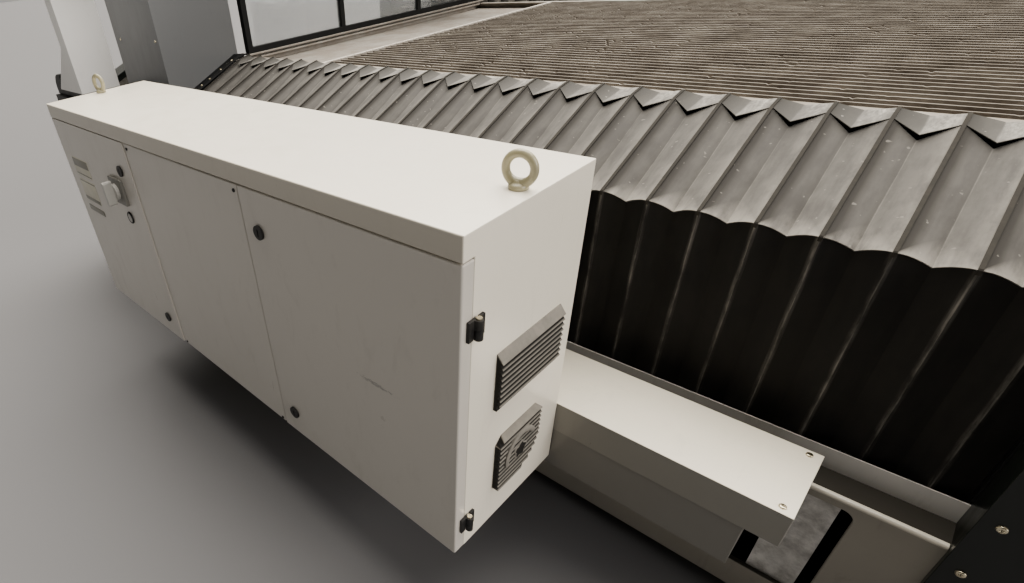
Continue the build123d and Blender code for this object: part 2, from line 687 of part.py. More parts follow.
def fan_guard():
    """The outlet's louvred cover: a square with cut corners, a ring, a hub and swirl arms."""
    y, z = FAN_CENTRE_Y, CABINET_TOP - FAN_DROP
    half, cut = FAN_GUARD_SIDE / 2, FAN_GUARD_CHAMFER
    octagon = [
        (y - half + cut, z - half), (y + half - cut, z - half), (y + half, z - half + cut),
        (y + half, z + half - cut), (y + half - cut, z + half), (y - half + cut, z + half),
        (y - half, z + half - cut), (y - half, z - half + cut),
    ]
    rim = prism_x(octagon, 0, GRILLE_BASE) - rod("x", FAN_RADIUS, (y, z), -1, GRILLE_BASE + 1)
    blades = louvres(y - half, y + half, z - half, z + half) & prism_x(octagon, 0, LOUVRE_PROUD)
    guard = rim + blades
    front = LOUVRE_PROUD - 4
    half_ring = FAN_RING_WIDTH / 2
    for radius in FAN_RING_RADII:
        ring = rod("x", radius + half_ring, (y, z), front, front + FAN_RING_DEPTH)
        guard += ring - rod("x", radius - half_ring, (y, z), front - 1, front + FAN_RING_DEPTH + 1)
    return guard + rod("x", FAN_BOSS_RADIUS, (y, z), front, front + FAN_RING_DEPTH + 1)


def fan_frame():
    """The axial fan's square frame, with its struts, motor cup and shaft."""
    y, z = FAN_CENTRE_Y, CABINET_TOP - FAN_DROP
    half = FAN_RADIUS + FAN_FRAME_MARGIN
    back = -SHEET - FAN_DEPTH
    frame = block(back, -SHEET, y - half, y + half, z - half, z + half)
    frame -= rod("x", FAN_RADIUS, (y, z), back - 1, -SHEET + 1)
    frame += rod("x", FAN_HUB_RADIUS, (y, z), back, back + 6)
    for angle in FAN_STRUT_ANGLES:
        strut = Pos(back + 3, y, z) * Rotation(angle, 0, 0) * Box(4, 2 * FAN_RADIUS + 2, 6)
        frame += strut
    return frame + rod("x", FAN_SHAFT_RADIUS, (y, z), back, -SHEET - 4)


def fan_impeller():
    """Hub and pitched blades on the fan's shaft."""
    y, z = FAN_CENTRE_Y, CABINET_TOP - FAN_DROP
    back, front = -SHEET - FAN_DEPTH + 8, -SHEET - 5
    hub = rod("x", FAN_HUB_RADIUS, (y, z), back, front)
    span = FAN_RADIUS - FAN_HUB_RADIUS - 2
    for index in range(FAN_BLADES):
        blade = Rotation(0, 0, FAN_BLADE_TWIST) * Box(SHEET, FAN_BLADE_CHORD, span)
        blade = Pos(0, 0, FAN_HUB_RADIUS + span / 2 - 1) * blade
        turned = Rotation(360 / FAN_BLADES * index, 0, 0) * blade
        hub += Pos((back + front) / 2, y, z) * turned
    return hub - rod("x", FAN_SHAFT_RADIUS + PIN_CLEARANCE, (y, z), back - 1, front + 1)


def mounting_plate():
    """The steel plate at the back of the cabinet, on four welded stand-offs."""
    back = CABINET_DEPTH - SHEET - STANDOFF_LENGTH
    left, right = CABINET_LEFT + MOUNTING_PLATE_MARGIN, -MOUNTING_PLATE_MARGIN
    low, high = CABINET_BOTTOM + MOUNTING_PLATE_MARGIN, CABINET_TOP - MOUNTING_PLATE_MARGIN
    pieces = [block(left, right, back - MOUNTING_PLATE_THICKNESS, back, low, high)]
    for x in (left + STANDOFF_INSET, right - STANDOFF_INSET):
        for z in (low + STANDOFF_INSET, high - STANDOFF_INSET):
            pieces.append(rod("y", STANDOFF_RADIUS, (x, z), back, CABINET_DEPTH - SHEET))
    return pieces


def drive_modules():
    """Servo drives side by side on the mounting plate, with grooves between cooling ribs at the top."""
    front = PLATE_FACE - DRIVE_DEPTH
    low = CABINET_BOTTOM + DRIVE_RISE
    top = low + DRIVE_HEIGHT
    first_groove = (DRIVE_WIDTH - (DRIVE_RIBS - 1) * DRIVE_RIB_PITCH - DRIVE_RIB_GROOVE) / 2
    modules = []
    for index in range(DRIVE_COUNT):
        x = -DRIVE_INSET - DRIVE_WIDTH - index * DRIVE_STEP
        body = block(x, x + DRIVE_WIDTH, front, PLATE_FACE, low, top)
        for rib in range(DRIVE_RIBS):
            groove = x + first_groove + rib * DRIVE_RIB_PITCH
            body -= block(
                groove, groove + DRIVE_RIB_GROOVE, front - 1, front + DRIVE_RIB_DEPTH,
                top - DRIVE_RIB_HEIGHT, top + 1,
            )
        modules.append(body)
    return modules


def terminal_row():
    """A rail with terminal blocks, and a wiring duct above it."""
    low = CABINET_BOTTOM + TERMINAL_RISE
    left, right = CABINET_LEFT + TERMINAL_INSET, -TERMINAL_INSET
    rail_face = PLATE_FACE - TERMINAL_RAIL_DEPTH
    rail = block(left, right, rail_face, PLATE_FACE, low, low + TERMINAL_RAIL_HEIGHT)
    first = left + TERMINAL_BLOCK_INSET
    block_low, block_top = low - TERMINAL_BLOCK_OVERHANG, low + TERMINAL_RAIL_HEIGHT + TERMINAL_BLOCK_OVERHANG
    blocks_front = rail_face - TERMINAL_BLOCK_DEPTH
    blocks = block(first, first + TERMINAL_BLOCK_LENGTH, blocks_front, rail_face, block_low, block_top)
    for index in range(1, TERMINAL_GROOVES + 1):
        x = first + index * TERMINAL_GROOVE_PITCH
        blocks -= block(
            x, x + TERMINAL_GROOVE, blocks_front - 1, blocks_front + TERMINAL_GROOVE_DEPTH,
            block_low - 1, block_top + 1,
        )
    duct = block(left, right, PLATE_FACE - DUCT_DEPTH, PLATE_FACE, low + DUCT_RISE, low + DUCT_RISE + DUCT_HEIGHT)
    return [rail, blocks, duct]


# Raceway, cabinet carriers and chain channel


def raceway_body():
    """The lower trough of the raceway, bolted to the beam, with an open mouth under the lid's overhang."""
    front, back = CABINET_DEPTH + SHEET + 1, RACEWAY_BACK
    right = RACEWAY_RIGHT - RACEWAY_OVERHANG
    top = RACEWAY_TOP - SHEET
    body = block(RACEWAY_LEFT + SHEET, right, front, back, RACEWAY_BOTTOM, top)
    body -= block(
        RACEWAY_LEFT + 2 * SHEET, right - SHEET, front + SHEET, back - SHEET, RACEWAY_BOTTOM + SHEET, top + 1
    )
    return body - block(
        right - 2 * SHEET, right + 1, front + RACEWAY_MOUTH_MARGIN, back - RACEWAY_MOUTH_MARGIN,
        RACEWAY_BOTTOM + RACEWAY_MOUTH_RISE, top + 1,
    )


def raceway_lid():
    """The folded lid: top, front flange and end flanges."""
    low = RACEWAY_TOP - RACEWAY_FLANGE
    lid = block(RACEWAY_LEFT, RACEWAY_RIGHT, CABINET_DEPTH, RACEWAY_BACK, low, RACEWAY_TOP)
    lid -= block(
        RACEWAY_LEFT + SHEET, RACEWAY_RIGHT - SHEET, CABINET_DEPTH + SHEET, RACEWAY_BACK + 1,
        low - 1, RACEWAY_TOP - SHEET,
    )
    return lid


def cabinet_carriers():
    """Two arms from the beam under the raceway, with risers that the cabinet stands on."""
    pieces = []
    top = RACEWAY_BOTTOM - CARRIER_GAP
    bottom, wall, half = top - CARRIER_HEIGHT, CARRIER_WALL, CARRIER_WIDTH / 2
    for x in leg_centres()[1:3]:
        arm = block(x - half, x + half, CARRIER_FRONT, BEAM_FRONT, bottom, top)
        arm -= block(
            x - half + wall, x + half - wall, CARRIER_FRONT - 1, BEAM_FRONT - wall, bottom + wall, top - wall
        )
        pieces += sheets_of(
            arm, slab("z", top - wall, top), slab("z", bottom, bottom + wall), slab("y", BEAM_FRONT - wall, BEAM_FRONT)
        )
        riser_back = CABINET_DEPTH - CARRIER_SHORTFALL
        pieces.append(block(x - half, x + half, CARRIER_FRONT, riser_back, top, CABINET_BOTTOM))
    return pieces


def chain_channel():
    """The covered channel behind the cabinet that the tow shoe runs in, slotted along its top."""
    front, back = CABINET_DEPTH + CHANNEL_FRONT_GAP, TOW_BACK + SHEET
    box = block(CHANNEL_LEFT, CHANNEL_RIGHT, front, back, CHANNEL_BOTTOM, CHANNEL_TOP)
    box -= block(
        CHANNEL_LEFT - 1, CHANNEL_RIGHT - SHEET, front + SHEET, back - SHEET,
        CHANNEL_BOTTOM + SHEET, CHANNEL_TOP - SHEET,
    )
    half = CHANNEL_SLOT / 2
    box -= block(
        CHANNEL_LEFT - 1, CHANNEL_RIGHT - CHANNEL_SLOT_END, TOW_MIDDLE_Y - half, TOW_MIDDLE_Y + half,
        CHANNEL_TOP - 2 * SHEET, CHANNEL_TOP + 1,
    )
    foot = CHANNEL_BRACKET_WIDTH / 2
    bracket_front = BEAM_FRONT - CHANNEL_BRACKET_OUT
    bracket_back = bracket_front + CHANNEL_BRACKET_DEPTH
    from_left, from_right = CHANNEL_BRACKET_INSETS
    for x in (CHANNEL_LEFT + from_left, (CHANNEL_LEFT + CHANNEL_RIGHT) / 2, CHANNEL_RIGHT - from_right):
        over_raceway = x > RACEWAY_LEFT
        low = RACEWAY_TOP if over_raceway else CHANNEL_BOTTOM - CHANNEL_BRACKET_DEPTH
        box += block(x - foot, x + foot, bracket_front, bracket_back, low, CHANNEL_BOTTOM)
        if not over_raceway:
            low = BEAM_TOP - CHANNEL_BRACKET_WIDTH
            box += block(x - foot, x + foot, bracket_back, BEAM_FRONT, low, CHANNEL_BOTTOM)
    return box


def energy_chain():
    """The cable chain: a lower run on the channel's floor, a bend, and an upper run under the shoe."""
    low = CHANNEL_BOTTOM + SHEET + 0.5
    shoe_bottom = CHANNEL_TOP - HOOK_BOTTOM
    middle = (low + shoe_bottom) / 2
    outer = (shoe_bottom - low) / 2
    inner = outer - CHAIN_HEIGHT
    y0, y1 = TOW_MIDDLE_Y - CHAIN_WIDTH / 2, TOW_MIDDLE_Y + CHAIN_WIDTH / 2
    bend = rod("y", outer, (CHAIN_BEND_X, middle), y0, y1) - rod("y", inner, (CHAIN_BEND_X, middle), y0 - 1, y1 + 1)
    bend -= block(CHAIN_BEND_X, CHAIN_BEND_X + 2 * outer, y0 - 1, y1 + 1, middle - 2 * outer, middle + 2 * outer)
    lower = block(CHAIN_BEND_X, CHAIN_FIXED_END, y0, y1, low, low + CHAIN_HEIGHT)
    upper = block(CHAIN_BEND_X, TOW_RIGHT - HOOK_INSET, y0, y1, shoe_bottom - CHAIN_HEIGHT, shoe_bottom)
    return bend + lower + upper


# Beams, feet and ends


def window_spans():
    """Left and right edge of each window in a beam."""
    room = MACHINE_RIGHT - MACHINE_LEFT - 2 * END_LEG - (WINDOW_COUNT - 1) * MIDDLE_LEG
    width = room / WINDOW_COUNT
    right = MACHINE_RIGHT - END_LEG
    return [
        (right - index * (width + MIDDLE_LEG) - width, right - index * (width + MIDDLE_LEG))
        for index in range(WINDOW_COUNT)
    ]


def near_beam():
    """The welded beam under the bellows: hollow, open below, with round-cornered windows in both webs."""
    beam = block(MACHINE_LEFT, MACHINE_RIGHT, BEAM_FRONT, BEAM_BACK, BEAM_BOTTOM, BEAM_TOP)
    front_edge = beam.edges().filter_by(Axis.X).sort_by(Axis.Z)[-2:].sort_by(Axis.Y)[0]
    beam = fillet(front_edge, BEAM_EDGE_RADIUS)
    beam -= block(
        MACHINE_LEFT + BEAM_WALL, MACHINE_RIGHT - BEAM_WALL, BEAM_FRONT + BEAM_WALL, BEAM_BACK - BEAM_WALL,
        BEAM_BOTTOM + BEAM_WALL, BEAM_TOP - BEAM_TOP_THICKNESS,
    )
    for left, right in window_spans():
        opening = block(
            left, right, BEAM_FRONT - 1, BEAM_BACK + 1, BEAM_BOTTOM + WINDOW_SILL, BEAM_TOP - WINDOW_TOP_BORDER
        )
        beam -= fillet(opening.edges().filter_by(Axis.Y), WINDOW_RADIUS)
    return beam


def leg_centres():
    """The middle of each stretch of beam between windows."""
    spans = sorted(window_spans())
    edges = [MACHINE_LEFT] + [x for span in spans for x in span] + [MACHINE_RIGHT]
    return [(edges[i] + edges[i + 1]) / 2 for i in range(0, len(edges), 2)]


def levelling_feet():
    """A foot under each leg; the four corner feet have a lug with an anchor hole."""
    feet = []
    centres = leg_centres()
    y = (BEAM_FRONT + BEAM_BACK) / 2
    for index, x in enumerate(centres):
        corner = index in (0, len(centres) - 1)
        plate = Pos(x, y, FOOT_THICKNESS / 2) * Box(FOOT_LENGTH, FOOT_WIDTH, FOOT_THICKNESS)
        plate = fillet(plate.edges().filter_by(Axis.Z), FOOT_CORNER)
        if corner:
            side = 1 if index else -1
            plate -= rod("z", FOOT_HOLE_RADIUS, (x + side * FOOT_HOLE_OFFSET, y), -1, FOOT_THICKNESS + 1)
        feet += both_sides(plate)
        feet += both_sides(rod("z", FOOT_STUD_RADIUS, (x, y), FOOT_THICKNESS, BEAM_BOTTOM))
    return feet


def base_ties():
    """Cross members between the two beams, which also carry the tank."""
    back = 2 * TANK_CENTRE - BEAM_BACK
    top = TIE_BOTTOM + TIE_HEIGHT
    half, wall = TIE_WIDTH / 2, TIE_WALL
    plates = []
    for x in leg_centres()[1:]:
        tie = block(x - half, x + half, BEAM_BACK, back, TIE_BOTTOM, top)
        tie -= block(x - half + wall, x + half - wall, BEAM_BACK - 1, back + 1, TIE_BOTTOM + wall, top - wall)
        plates += sheets_of(tie, slab("z", top - wall, top), slab("z", TIE_BOTTOM, TIE_BOTTOM + wall))
    return plates


def drip_strip():
    """A thin angle along the beam that turns drips away from the bellows."""
    strip = block(LEFT_END_X, RIGHT_END_X, STRIP_Y, STRIP_Y + SHEET, BEAM_TOP, BEAM_TOP + STRIP_HEIGHT)
    return strip + block(LEFT_END_X, RIGHT_END_X, STRIP_Y, STRIP_Y + STRIP_FOOT, BEAM_TOP, BEAM_TOP + SHEET)


def x_rails():
    """The two guide rails on the near beam."""
    rails = []
    half = RAIL_WIDTH / 2
    waist = half - RAIL_WAIST_INSET
    foot, head = BEAM_TOP + RAIL_FOOT_HEIGHT, RAIL_TOP - RAIL_HEAD_HEIGHT
    profile = [
        (half, BEAM_TOP), (half, foot), (waist, foot + RAIL_WAIST_SLOPE), (waist, head - RAIL_WAIST_SLOPE),
        (half, head), (half, RAIL_TOP),
    ]
    for y in RAIL_YS:
        outline = [(y + out, z) for out, z in profile] + [(y - out, z) for out, z in reversed(profile)]
        rails.append(prism_x(outline, LEFT_END_X + 1, RIGHT_END_X - 1))
    return rails


def magnet_track():
    """The linear motor's track between the rails."""
    half = TRACK_WIDTH / 2
    return block(LEFT_END_X + 1, RIGHT_END_X - 1, TRACK_Y - half, TRACK_Y + half, BEAM_TOP, BEAM_TOP + TRACK_HEIGHT)


def housing_outline(front, bottom):
    """The outline of an end housing, which follows the bellows' roof."""
    back = BEAM_BACK + END_COVER_BACK
    return [
        (front, bottom), (front, BELLOWS_EAVES + END_COVER_RISE),
        (BELLOWS_APEX_Y, BELLOWS_APEX_Z + END_COVER_RISE + 2 * END_COVER_WALL),
        (back, BELLOWS_BACK_Z + END_COVER_RISE), (back, bottom),
    ]


def housing_room(front, bottom):
    """The outline of the room inside an end housing."""
    wall = END_COVER_WALL
    back = BEAM_BACK + END_COVER_BACK - wall
    under = END_COVER_RISE - 1.5 * wall
    return [
        (front + wall, bottom), (front + wall, BELLOWS_EAVES + under),
        (BELLOWS_APEX_Y, BELLOWS_APEX_Z + under + 2 * wall), (back, BELLOWS_BACK_Z + under), (back, bottom),
    ]


def right_end_box():
    """The folded housing over the beam's right end, with an apron down the beam's front."""
    housing = prism_x(housing_outline(END_COVER_FRONT, END_COVER_BOTTOM), RIGHT_END_X, MACHINE_RIGHT)
    wall = END_COVER_WALL
    housing -= prism_x(housing_room(END_COVER_FRONT, BEAM_TOP + wall), RIGHT_END_X + wall, MACHINE_RIGHT - wall)
    beam_room = block(
        RIGHT_END_X - 1, MACHINE_RIGHT + 1, BEAM_FRONT - COVER_CLEARANCE, BEAM_BACK + 2 * END_COVER_BACK,
        END_COVER_BOTTOM - 1, BEAM_TOP,
    )
    housing -= beam_room
    under = block(
        RIGHT_END_X + wall, MACHINE_RIGHT - wall, BEAM_FRONT + wall, BEAM_BACK - wall, BEAM_TOP - 1,
        BEAM_TOP + wall + 1,
    )
    return housing - under


def left_end_box():
    """The shorter housing over the beam's left end."""
    left = LEFT_END_X - LEFT_END_LENGTH
    back = BEAM_BACK + END_COVER_BACK
    wall = END_COVER_WALL
    housing = prism_x(housing_outline(COVER_FRONT, BEAM_TOP), left, LEFT_END_X)
    housing -= prism_x(housing_room(COVER_FRONT, BEAM_TOP - 1), left + wall, LEFT_END_X - wall)
    return sheets_of(
        housing, slab("x", left, left + wall), slab("x", LEFT_END_X - wall, LEFT_END_X),
        slab("y", COVER_FRONT, COVER_FRONT + wall), slab("y", back - wall, back),
        slab("y", COVER_FRONT, BELLOWS_APEX_Y),
    )


# Bellows


def pleat_section(x, ridge):
    """One cross-section of the bellows at a ridge or a valley, as a closed strip of (y, z) points."""
    depth = 0.0 if ridge else PLEAT_DEPTH
    notch = 0.0 if ridge else PLEAT_NOTCH
    outside = [
        (BELLOWS_FRONT + depth, BELLOWS_BOTTOM),
        (BELLOWS_FRONT + depth * 0.7, BELLOWS_EAVES - depth * 0.75),
        (BELLOWS_APEX_Y - notch, BELLOWS_APEX_Z - notch * 0.58),
        (BELLOWS_BACK_Y - depth * 0.1, BELLOWS_BACK_Z - depth * 0.8),
        (BELLOWS_BACK_Y + BELLOWS_LIP_Y - depth * 0.2, BELLOWS_BACK_Z - BELLOWS_LIP_HEIGHT),
    ]
    wall = BELLOWS_WALL
    inward = [(wall, 0), (wall, -wall * 0.6), (wall * 0.3, -wall), (-wall * 0.8, -wall), (-wall, 0)]
    inside = [(y + dy, z + dz) for (y, z), (dy, dz) in zip(outside, inward)]
    points = [(x, y, z) for y, z in outside + inside[::-1]]
    return Polyline(*points, close=True)


def bellows(left, pitch):
    """A pleated cover from left to right: ridges in the middle of each pleat, valleys between."""
    stations = [(left + pitch * 0.5 * i, i % 2 == 1) for i in range(2 * PLEAT_COUNT + 1)]
    return loft([make_face(pleat_section(x, ridge)) for x, ridge in stations], ruled=True)


def bellows_flange(x, rise):
    """A frame plate at a bellows' end, with the outline of its section, standing above its roof by a rise."""
    front, back = BELLOWS_FRONT - FLANGE_FRONT_GAP, BELLOWS_BACK_Y + BELLOWS_LIP_Y
    low = BELLOWS_BACK_Z - BELLOWS_LIP_HEIGHT - FLANGE_FRONT_GAP
    outline = [
        (front, BELLOWS_BOTTOM), (front, BELLOWS_EAVES + rise - FLANGE_FRONT_GAP),
        (BELLOWS_APEX_Y, BELLOWS_APEX_Z + rise), (back, BELLOWS_BACK_Z + FLANGE_FRONT_GAP), (back, low),
        (back - PLEAT_NOTCH, low), (BELLOWS_APEX_Y - PLEAT_DEPTH, BELLOWS_BOTTOM),
    ]
    border = FLANGE_BORDER + PLEAT_DEPTH
    inside = [
        (front + border, BELLOWS_BOTTOM - 1), (front + border, BELLOWS_EAVES - border),
        (BELLOWS_APEX_Y, BELLOWS_APEX_Z - border), (back + 1, low - 1), (back + 1, BELLOWS_BOTTOM - 1),
    ]
    flange = prism_x(outline, x, x + FLANGE_THICKNESS)
    return flange - prism_x(inside, x - 1, x + FLANGE_THICKNESS + 1)


def clamp_angle(x, start):
    """The moving flange with its clamping strip, which reaches from start over the end of the bellows' roof."""
    front, back = BELLOWS_FRONT - FLANGE_FRONT_GAP, BELLOWS_BACK_Y + BELLOWS_LIP_Y - SHEET
    low, high = CLAMP_GAP, CLAMP_GAP + FLANGE_THICKNESS
    strip = [
        (front, BELLOWS_EAVES + low), (BELLOWS_APEX_Y, BELLOWS_APEX_Z + low), (back, BELLOWS_BACK_Z + low - SHEET),
        (back, BELLOWS_BACK_Z + high - SHEET), (BELLOWS_APEX_Y, BELLOWS_APEX_Z + high), (front, BELLOWS_EAVES + high),
    ]
    return bellows_flange(x, CLAMP_RISE) + prism_x(strip, start, start + CLAMP_LENGTH)


# Tank


def water_tank():
    """The welded tank: walls, floor, rim, end shelves and the lips beside the bed."""
    tank = block(TANK_LEFT, TANK_RIGHT, TANK_FRONT, TANK_BACK, TANK_BOTTOM, TANK_SIDE_TOP)
    tank -= block(
        TANK_LEFT + TANK_WALL, TANK_RIGHT - TANK_WALL, TANK_FRONT + TANK_WALL, TANK_BACK - TANK_WALL,
        TANK_BOTTOM + TANK_WALL, TANK_SIDE_TOP + 1,
    )
    low, rim = TANK_SIDE_TOP - TANK_WALL, TANK_RIM_WIDTH
    ring = block(TANK_LEFT, TANK_RIGHT, TANK_FRONT, TANK_BACK, low, TANK_SIDE_TOP)
    ring -= block(TANK_LEFT + rim, TANK_RIGHT - rim, TANK_FRONT + rim, TANK_BACK - rim, low - 1, TANK_SIDE_TOP + 1)
    tank += ring
    tank += block(TANK_LEFT, TANK_LEFT + TANK_WALL, TANK_FRONT, TANK_BACK, low, TANK_RIM_TOP)
    tank += block(TANK_LEFT, TANK_LEFT + rim, TANK_FRONT, TANK_BACK, TANK_RIM_TOP - TANK_WALL, TANK_RIM_TOP)
    shelf = SHELF_TOP - TANK_WALL
    tank += block(TANK_LEFT, BED_LEFT, TANK_FRONT, TANK_BACK, shelf, SHELF_TOP)
    tank += block(BED_LEFT - BED_LIP, BED_LEFT, TANK_FRONT, TANK_BACK, shelf, BED_LIP_TOP)
    tank += block(BED_RIGHT, TANK_RIGHT, TANK_FRONT, TANK_BACK, shelf, SHELF_TOP)
    tank += block(BED_RIGHT, BED_RIGHT + BED_LIP, TANK_FRONT, TANK_BACK, shelf, BED_LIP_TOP)
    return tank


def slat_ys():
    """The front face of each slat."""
    room = TANK_WIDTH - 2 * TANK_WALL - 2 * SLAT_MARGIN
    count = int(room / SLAT_PITCH) + 1
    first = TANK_CENTRE - (count - 1) * SLAT_PITCH / 2 - SLAT_THICKNESS / 2
    return [first + index * SLAT_PITCH for index in range(count)]


def bed_slats():
    """The upright strips that the workpiece lies on."""
    low = SLAT_TOP - SLAT_HEIGHT
    return [
        block(BED_LEFT + 2, BED_RIGHT - 2, y, y + SLAT_THICKNESS, low, SLAT_TOP) for y in slat_ys()
    ]


def slat_combs():
    """Slotted bars across the tank that the slats stand in."""
    top = SLAT_TOP - SLAT_HEIGHT + COMB_SLOT_DEPTH
    step = (BED_RIGHT - BED_LEFT - 2 * COMB_INSET) / (COMB_COUNT - 1)
    combs = []
    for index in range(COMB_COUNT):
        x = BED_LEFT + COMB_INSET + index * step
        outline = [(TANK_FRONT + TANK_WALL, top - COMB_HEIGHT), (TANK_FRONT + TANK_WALL, top)]
        for y in slat_ys():
            near, beyond = y - SLOT_CLEARANCE, y + SLAT_THICKNESS + SLOT_CLEARANCE
            floor = top - COMB_SLOT_DEPTH
            outline += [(near, top), (near, floor), (beyond, floor), (beyond, top)]
        outline += [(TANK_BACK - TANK_WALL, top), (TANK_BACK - TANK_WALL, top - COMB_HEIGHT)]
        combs.append(prism_x(outline, x - COMB_THICKNESS / 2, x + COMB_THICKNESS / 2))
    return combs


def guard_posts():
    """The middle of each splash-guard post."""
    first, last = TANK_FRONT + GUARD_POST / 2, TANK_BACK - GUARD_POST / 2
    return [first + (last - first) * index / (GUARD_POSTS - 1) for index in range(GUARD_POSTS)]


def splash_guard_frame():
    """Sill, head rail and posts of the clear guard on the tank's left rim."""
    x0 = TANK_LEFT + 2
    x1 = x0 + GUARD_POST
    low, high = TANK_RIM_TOP + GUARD_RAIL_HEIGHT, GUARD_TOP - GUARD_RAIL_HEIGHT
    sill = block(x0, x1, TANK_FRONT, TANK_BACK, TANK_RIM_TOP, low)
    head = block(x0, x1, TANK_FRONT, TANK_BACK, high, GUARD_TOP)
    half = GUARD_POST / 2
    return [sill, head] + [block(x0, x1, y - half, y + half, low, high) for y in guard_posts()]


def splash_guard_panels():
    """The clear sheets between the posts."""
    x0 = TANK_LEFT + 2 + GUARD_POST / 2 - GUARD_PANEL / 2
    low, high = TANK_RIM_TOP + GUARD_RAIL_HEIGHT, GUARD_TOP - GUARD_RAIL_HEIGHT
    posts = guard_posts()
    half = GUARD_POST / 2
    return [
        block(x0, x0 + GUARD_PANEL, posts[i] + half, posts[i + 1] - half, low, high)
        for i in range(GUARD_POSTS - 1)
    ]


# Portal


def x_carriage():
    """The plate under a portal upright, with a bearing block at each corner."""
    inset = CARRIAGE_INSET
    y0, y1 = RAIL_YS[0] - CARRIAGE_BLOCK_WIDTH / 2, RAIL_YS[1] + CARRIAGE_BLOCK_WIDTH / 2
    pieces = [block(PORTAL_LEFT + inset, PORTAL_RIGHT - inset, y0, y1, CARRIAGE_BOTTOM, CARRIAGE_TOP)]
    half = RAIL_WIDTH / 2 + RUNNING_GAP
    for y in RAIL_YS:
        for x in (PORTAL_LEFT + inset, PORTAL_RIGHT - inset - CARRIAGE_BLOCK_LENGTH):
            bearing = block(
                x, x + CARRIAGE_BLOCK_LENGTH, y - CARRIAGE_BLOCK_WIDTH / 2, y + CARRIAGE_BLOCK_WIDTH / 2,
                BEAM_TOP + CARRIAGE_BLOCK_FOOT, CARRIAGE_BOTTOM,
            )
            pieces.append(bearing - block(
                x - 1, x + CARRIAGE_BLOCK_LENGTH + 1, y - half, y + half, BEAM_TOP, RAIL_TOP + RUNNING_GAP
            ))
    return pieces


def motor_forcer():
    """The linear motor's moving coil under a carriage plate."""
    half = TRACK_WIDTH / 2
    return block(
        PORTAL_LEFT + FORCER_INSET, PORTAL_RIGHT - FORCER_INSET, TRACK_Y - half, TRACK_Y + half,
        BEAM_TOP + TRACK_HEIGHT + FORCER_GAP, CARRIAGE_BOTTOM,
    )


def upright(wall):
    """The near upright and half of the bridge, shrunk all round by a wall's thickness."""
    gap = UPRIGHT_INSET + wall
    leg = block(
        PORTAL_LEFT + gap, PORTAL_RIGHT - gap, UPRIGHT_FRONT + wall, UPRIGHT_BACK - wall,
        CARRIAGE_TOP - (1 if wall else 0), BRIDGE_TOP - wall,
    )
    half_bridge = block(
        BRIDGE_LEFT + wall, BRIDGE_RIGHT - wall, RAIL_YS[0], TANK_CENTRE + 1, BRIDGE_BOTTOM + wall, BRIDGE_TOP - wall
    )
    return leg + half_bridge


def portal_frame():
    """The welded portal: two uprights and the bridge between them, hollow."""
    wall = PORTAL_WALL
    hollow = upright(wall)
    portal = upright(0) + far(upright(0)) - hollow - far(hollow)
    leg_space = slab("y", UPRIGHT_FRONT, UPRIGHT_BACK)
    leg_back = slab("y", UPRIGHT_BACK - wall, UPRIGHT_BACK)
    top = slab("z", BRIDGE_TOP - wall, BRIDGE_TOP)
    under_bridge = slab("z", 0, BRIDGE_BOTTOM + wall)
    leg = sheets_of(
        portal & leg_space, leg_back & under_bridge, leg_back & top, leg_back, top,
        slab("y", UPRIGHT_FRONT, UPRIGHT_FRONT + wall),
    )
    bridge = sheets_of(portal - leg_space - far(leg_space), top, under_bridge)
    return leg + [far(plate) for plate in leg] + bridge


def upright_cover():
    """The dark cover round an upright: front, sides, back and top, open below and where the bridge enters."""
    cover = block(PORTAL_LEFT, PORTAL_RIGHT, COVER_FRONT, COVER_BACK, COVER_BOTTOM, PORTAL_TOP)
    sheet = COVER_SHEET
    cover -= block(
        PORTAL_LEFT + sheet, PORTAL_RIGHT - sheet, COVER_FRONT + sheet, COVER_BACK - sheet,
        COVER_BOTTOM - 1, PORTAL_TOP - sheet,
    )
    low, high = BRIDGE_BOTTOM - COVER_CLEARANCE, BRIDGE_TOP + COVER_CLEARANCE
    cover -= block(
        BRIDGE_LEFT - COVER_CLEARANCE, BRIDGE_RIGHT + COVER_CLEARANCE,
        COVER_BACK - sheet - 1, COVER_BACK + 1, low, high,
    )
    back = slab("y", COVER_BACK - sheet, COVER_BACK)
    sheets = sheets_of(
        cover, slab("z", PORTAL_TOP - sheet, PORTAL_TOP), slab("y", COVER_FRONT, COVER_FRONT + sheet),
        back & slab("z", 0, low), back & slab("z", high, PORTAL_TOP), back,
    )
    side = SPACER_SIDE
    for x in (PORTAL_LEFT + SPACER_INSET, PORTAL_RIGHT - SPACER_INSET - side):
        for rise in SPACER_RISES:
            z = COVER_BOTTOM + rise
            sheets.append(block(x, x + side, COVER_FRONT + sheet, UPRIGHT_FRONT, z, z + side))
    return sheets


def bridge_cover():
    """The folded cover over the bridge's back and top."""
    sheet = COVER_SHEET
    y0, y1 = COVER_BACK + 1, 2 * TANK_CENTRE - COVER_BACK - 1
    outer = block(PORTAL_LEFT, BRIDGE_RIGHT, y0, y1, BRIDGE_BOTTOM, PORTAL_TOP)
    inner = block(PORTAL_LEFT + sheet, BRIDGE_RIGHT + 1, y0 - 1, y1 + 1, BRIDGE_BOTTOM - 1, PORTAL_TOP - sheet)
    sheets = sheets_of(outer - inner, slab("z", PORTAL_TOP - sheet, PORTAL_TOP))
    side, half = BRACKET_SIDE, BRACKET_SIDE / 2
    middle = (BRIDGE_BOTTOM + BRIDGE_TOP) / 2
    for y in (y0 + BRACKET_INSET, TANK_CENTRE, y1 - BRACKET_INSET):
        sheets.append(block(PORTAL_LEFT + sheet, BRIDGE_LEFT, y - half, y + half, middle - half, middle + half))
        sheets.append(block(
            BRIDGE_LEFT + side, BRIDGE_LEFT + 2 * side, y - half, y + half, BRIDGE_TOP, PORTAL_TOP - sheet
        ))
    return sheets


